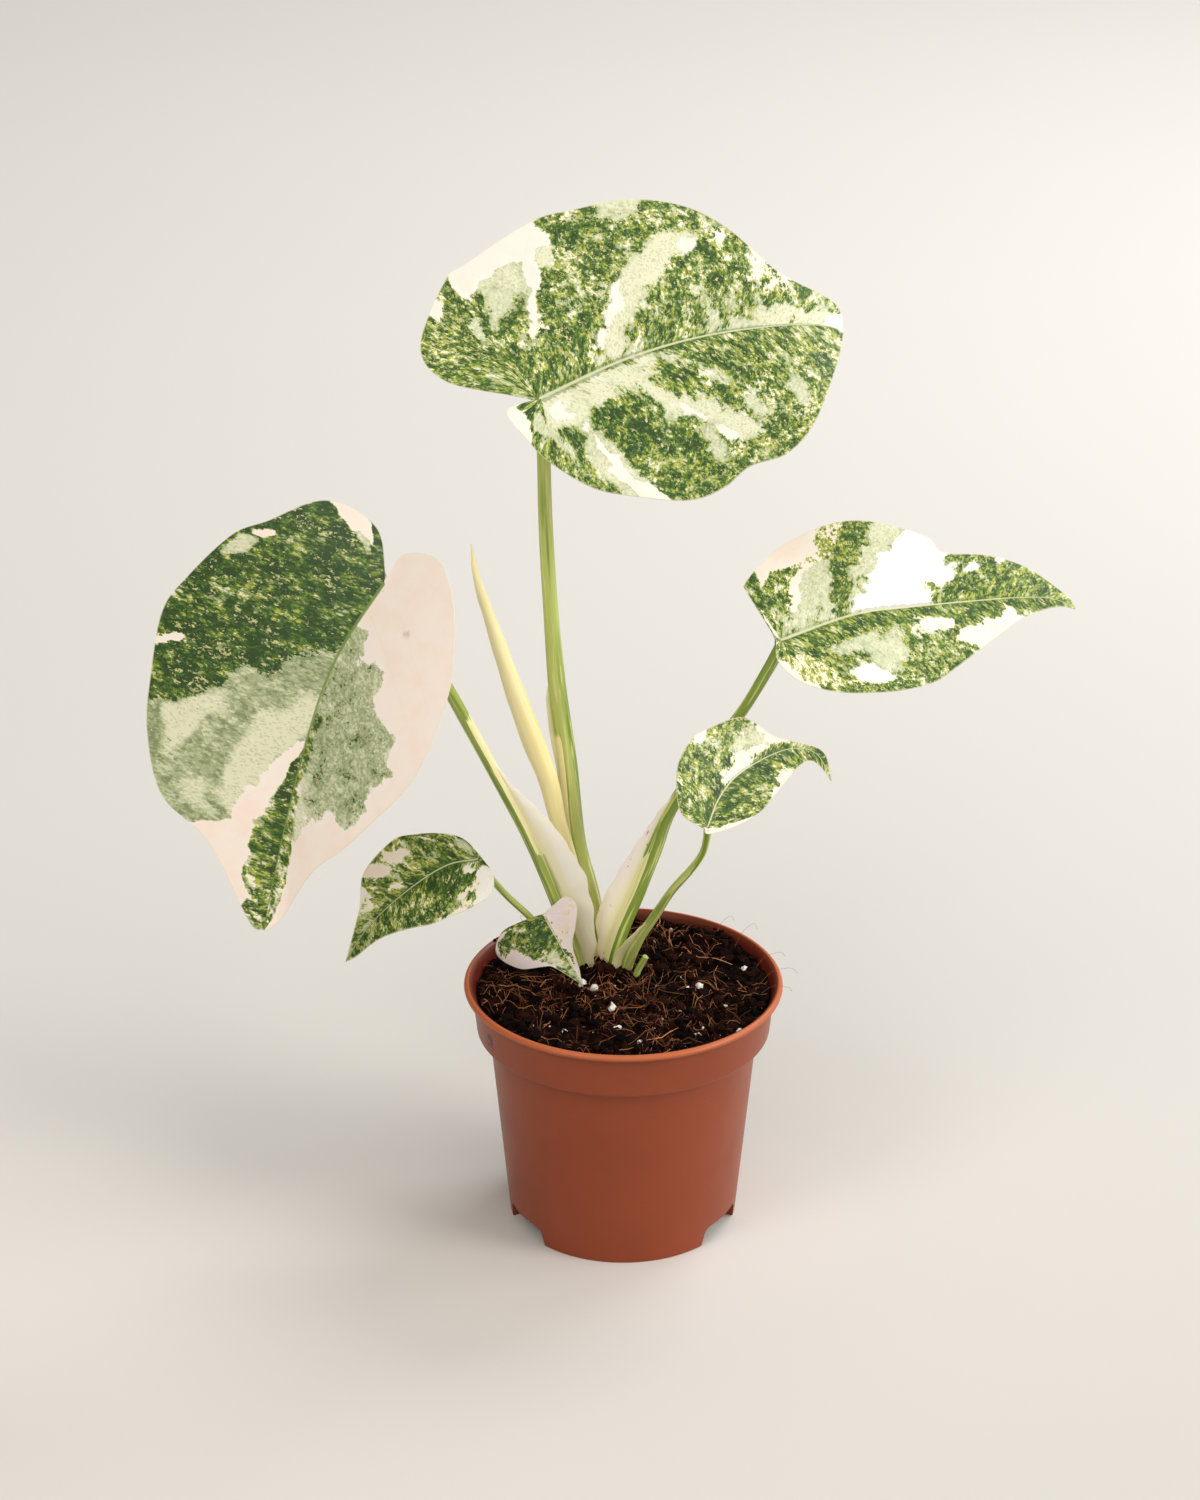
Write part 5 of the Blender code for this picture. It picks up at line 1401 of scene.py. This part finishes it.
class MONSTERA_OT_stage(bpy.types.Operator):
    """Makes the plain floor, the soft studio light and the camera"""
    bl_idname = "monstera.stage"
    bl_label = "Floor, light and camera"

    def place(self, name, light, at, target):
        made = bpy.data.objects.new(name, light)
        made.location = at
        made.rotation_euler = (Vector(target) - Vector(at)).to_track_quat('-Z', 'Y').to_euler()
        bpy.context.scene.collection.objects.link(made)

    def sun(self, name, strength, width, towards, colour):
        """Even light from one side, soft like a wide screen far away."""
        light = bpy.data.lights.new(name, 'SUN')
        light.angle = math.radians(width)
        light.energy = strength
        light.color = colour
        self.place(name, light, Vector(towards) * 2.5, (0, 0, 0))

    def lamp(self, name, power, size, at, target, colour):
        light = bpy.data.lights.new(name, 'AREA')
        light.shape = 'DISK'
        light.size = size
        light.energy = power
        light.color = colour
        self.place(name, light, at, target)

    def execute(self, context):
        settings = context.scene.monstera_stage
        bm = bmesh.new()
        bmesh.ops.create_grid(bm, x_segments=12, y_segments=12, size=60.0)
        mesh = bpy.data.meshes.new("studio_floor")
        bm.to_mesh(mesh)
        bm.free()
        paint = Paint("studio_paper")
        faint = paint.noise(paint.object_place(), 0.5, 2.0, 0.5)
        colour = paint.mix(tuple(settings.floor) + (1.0,), srgb(217, 212, 205), faint * 0.5)
        mesh.materials.append(paint.finish(Base_Color=colour, Roughness=0.9))
        floor = bpy.data.objects.new("studio_floor", mesh)
        context.scene.collection.objects.link(floor)

        world = bpy.data.worlds.new("studio_world")
        world.use_nodes = True
        nodes, links = world.node_tree.nodes, world.node_tree.links
        glow = nodes["Background"]
        glow.inputs["Color"].default_value = (1.0, 0.95, 0.88, 1.0)
        around = nodes.new("ShaderNodeTexCoord")
        parts = nodes.new("ShaderNodeSeparateXYZ")
        links.new(around.outputs["Generated"], parts.inputs[0])
        side = nodes.new("ShaderNodeMath")
        side.operation = 'MULTIPLY_ADD'
        side.inputs[1].default_value = 0.95 * settings.world
        side.inputs[2].default_value = settings.world
        links.new(parts.outputs["X"], side.inputs[0])
        links.new(side.outputs[0], glow.inputs["Strength"])
        context.scene.world = world
        context.scene.view_settings.view_transform = 'Standard'
        self.sun("key_light", settings.key, 26, (0.82, -0.3, 0.48), (1.0, 0.985, 0.965))
        self.sun("top_light", settings.top, 75, (-0.1, -0.66, 0.74), (1.0, 0.985, 0.96))
        self.lamp("left_light", settings.left, 0.25, (-0.34, -0.4, 0.56), (-0.1, -0.01, 0.2),
                  (1.0, 0.97, 0.95))
        self.lamp("right_light", settings.right, 0.5, (1.2, 0.1, 1.0), (0.15, 0.25, 0),
                  (0.94, 0.98, 1.0))
        self.lamp("back_light", settings.back, 1.3, (1.1, 1.2, 1.6), (0.3, 1.5, 0), (0.9, 0.95, 1.0))

        lens = bpy.data.cameras.new("camera")
        lens.lens = settings.lens
        lens.sensor_width = 36.0
        lens.sensor_fit = 'AUTO'
        lens.clip_start = 0.05
        lens.clip_end = 50.0
        camera = bpy.data.objects.new("camera", lens)
        camera.location = (-0.0067, -1.1908, 0.7278)
        camera.rotation_euler = (math.radians(90 - 24.44), 0, 0)
        context.scene.collection.objects.link(camera)
        context.scene.camera = camera
        return {'FINISHED'}


class MONSTERA_PT_panel(bpy.types.Panel):
    bl_label = "Potted monstera"
    bl_idname = "MONSTERA_PT_panel"
    bl_space_type = 'VIEW_3D'
    bl_region_type = 'UI'
    bl_category = "Monstera"

    def draw(self, context):
        layout = self.layout
        for group, operators in PANEL.items():
            settings = getattr(context.scene, group)
            box = layout.box()
            for key in settings.bl_rna.properties.keys():
                if key not in ("rna_type", "name"):
                    box.prop(settings, key)
            for operator in operators:
                box.operator(operator.bl_idname)


PANEL = {
    "monstera_stage": (MONSTERA_OT_stage,),
    "monstera_pot": (MONSTERA_OT_pot,),
    "monstera_soil": (MONSTERA_OT_soil, MONSTERA_OT_litter),
    "monstera_stalks": (MONSTERA_OT_stalks, MONSTERA_OT_rolled_leaf, MONSTERA_OT_cut_stalk),
    "monstera_blades": (MONSTERA_OT_blades,),
}
GROUPS = {
    "monstera_stage": StageSettings, "monstera_pot": PotSettings, "monstera_soil": SoilSettings,
    "monstera_stalks": StalkSettings, "monstera_blades": BladeSettings,
}


def register():
    for group in GROUPS.values():
        bpy.utils.register_class(group)
    for name, group in GROUPS.items():
        setattr(bpy.types.Scene, name, PointerProperty(type=group))
    for operators in PANEL.values():
        for operator in operators:
            bpy.utils.register_class(operator)
    bpy.utils.register_class(MONSTERA_PT_panel)


def unregister():
    bpy.utils.unregister_class(MONSTERA_PT_panel)
    for operators in PANEL.values():
        for operator in operators:
            bpy.utils.unregister_class(operator)
    for name, group in GROUPS.items():
        delattr(bpy.types.Scene, name)
        bpy.utils.unregister_class(group)


def main():
    register()
    for operators in PANEL.values():
        for operator in operators:
            group, name = operator.bl_idname.split(".")
            getattr(getattr(bpy.ops, group), name)()


if __name__ == "__main__":
    main()
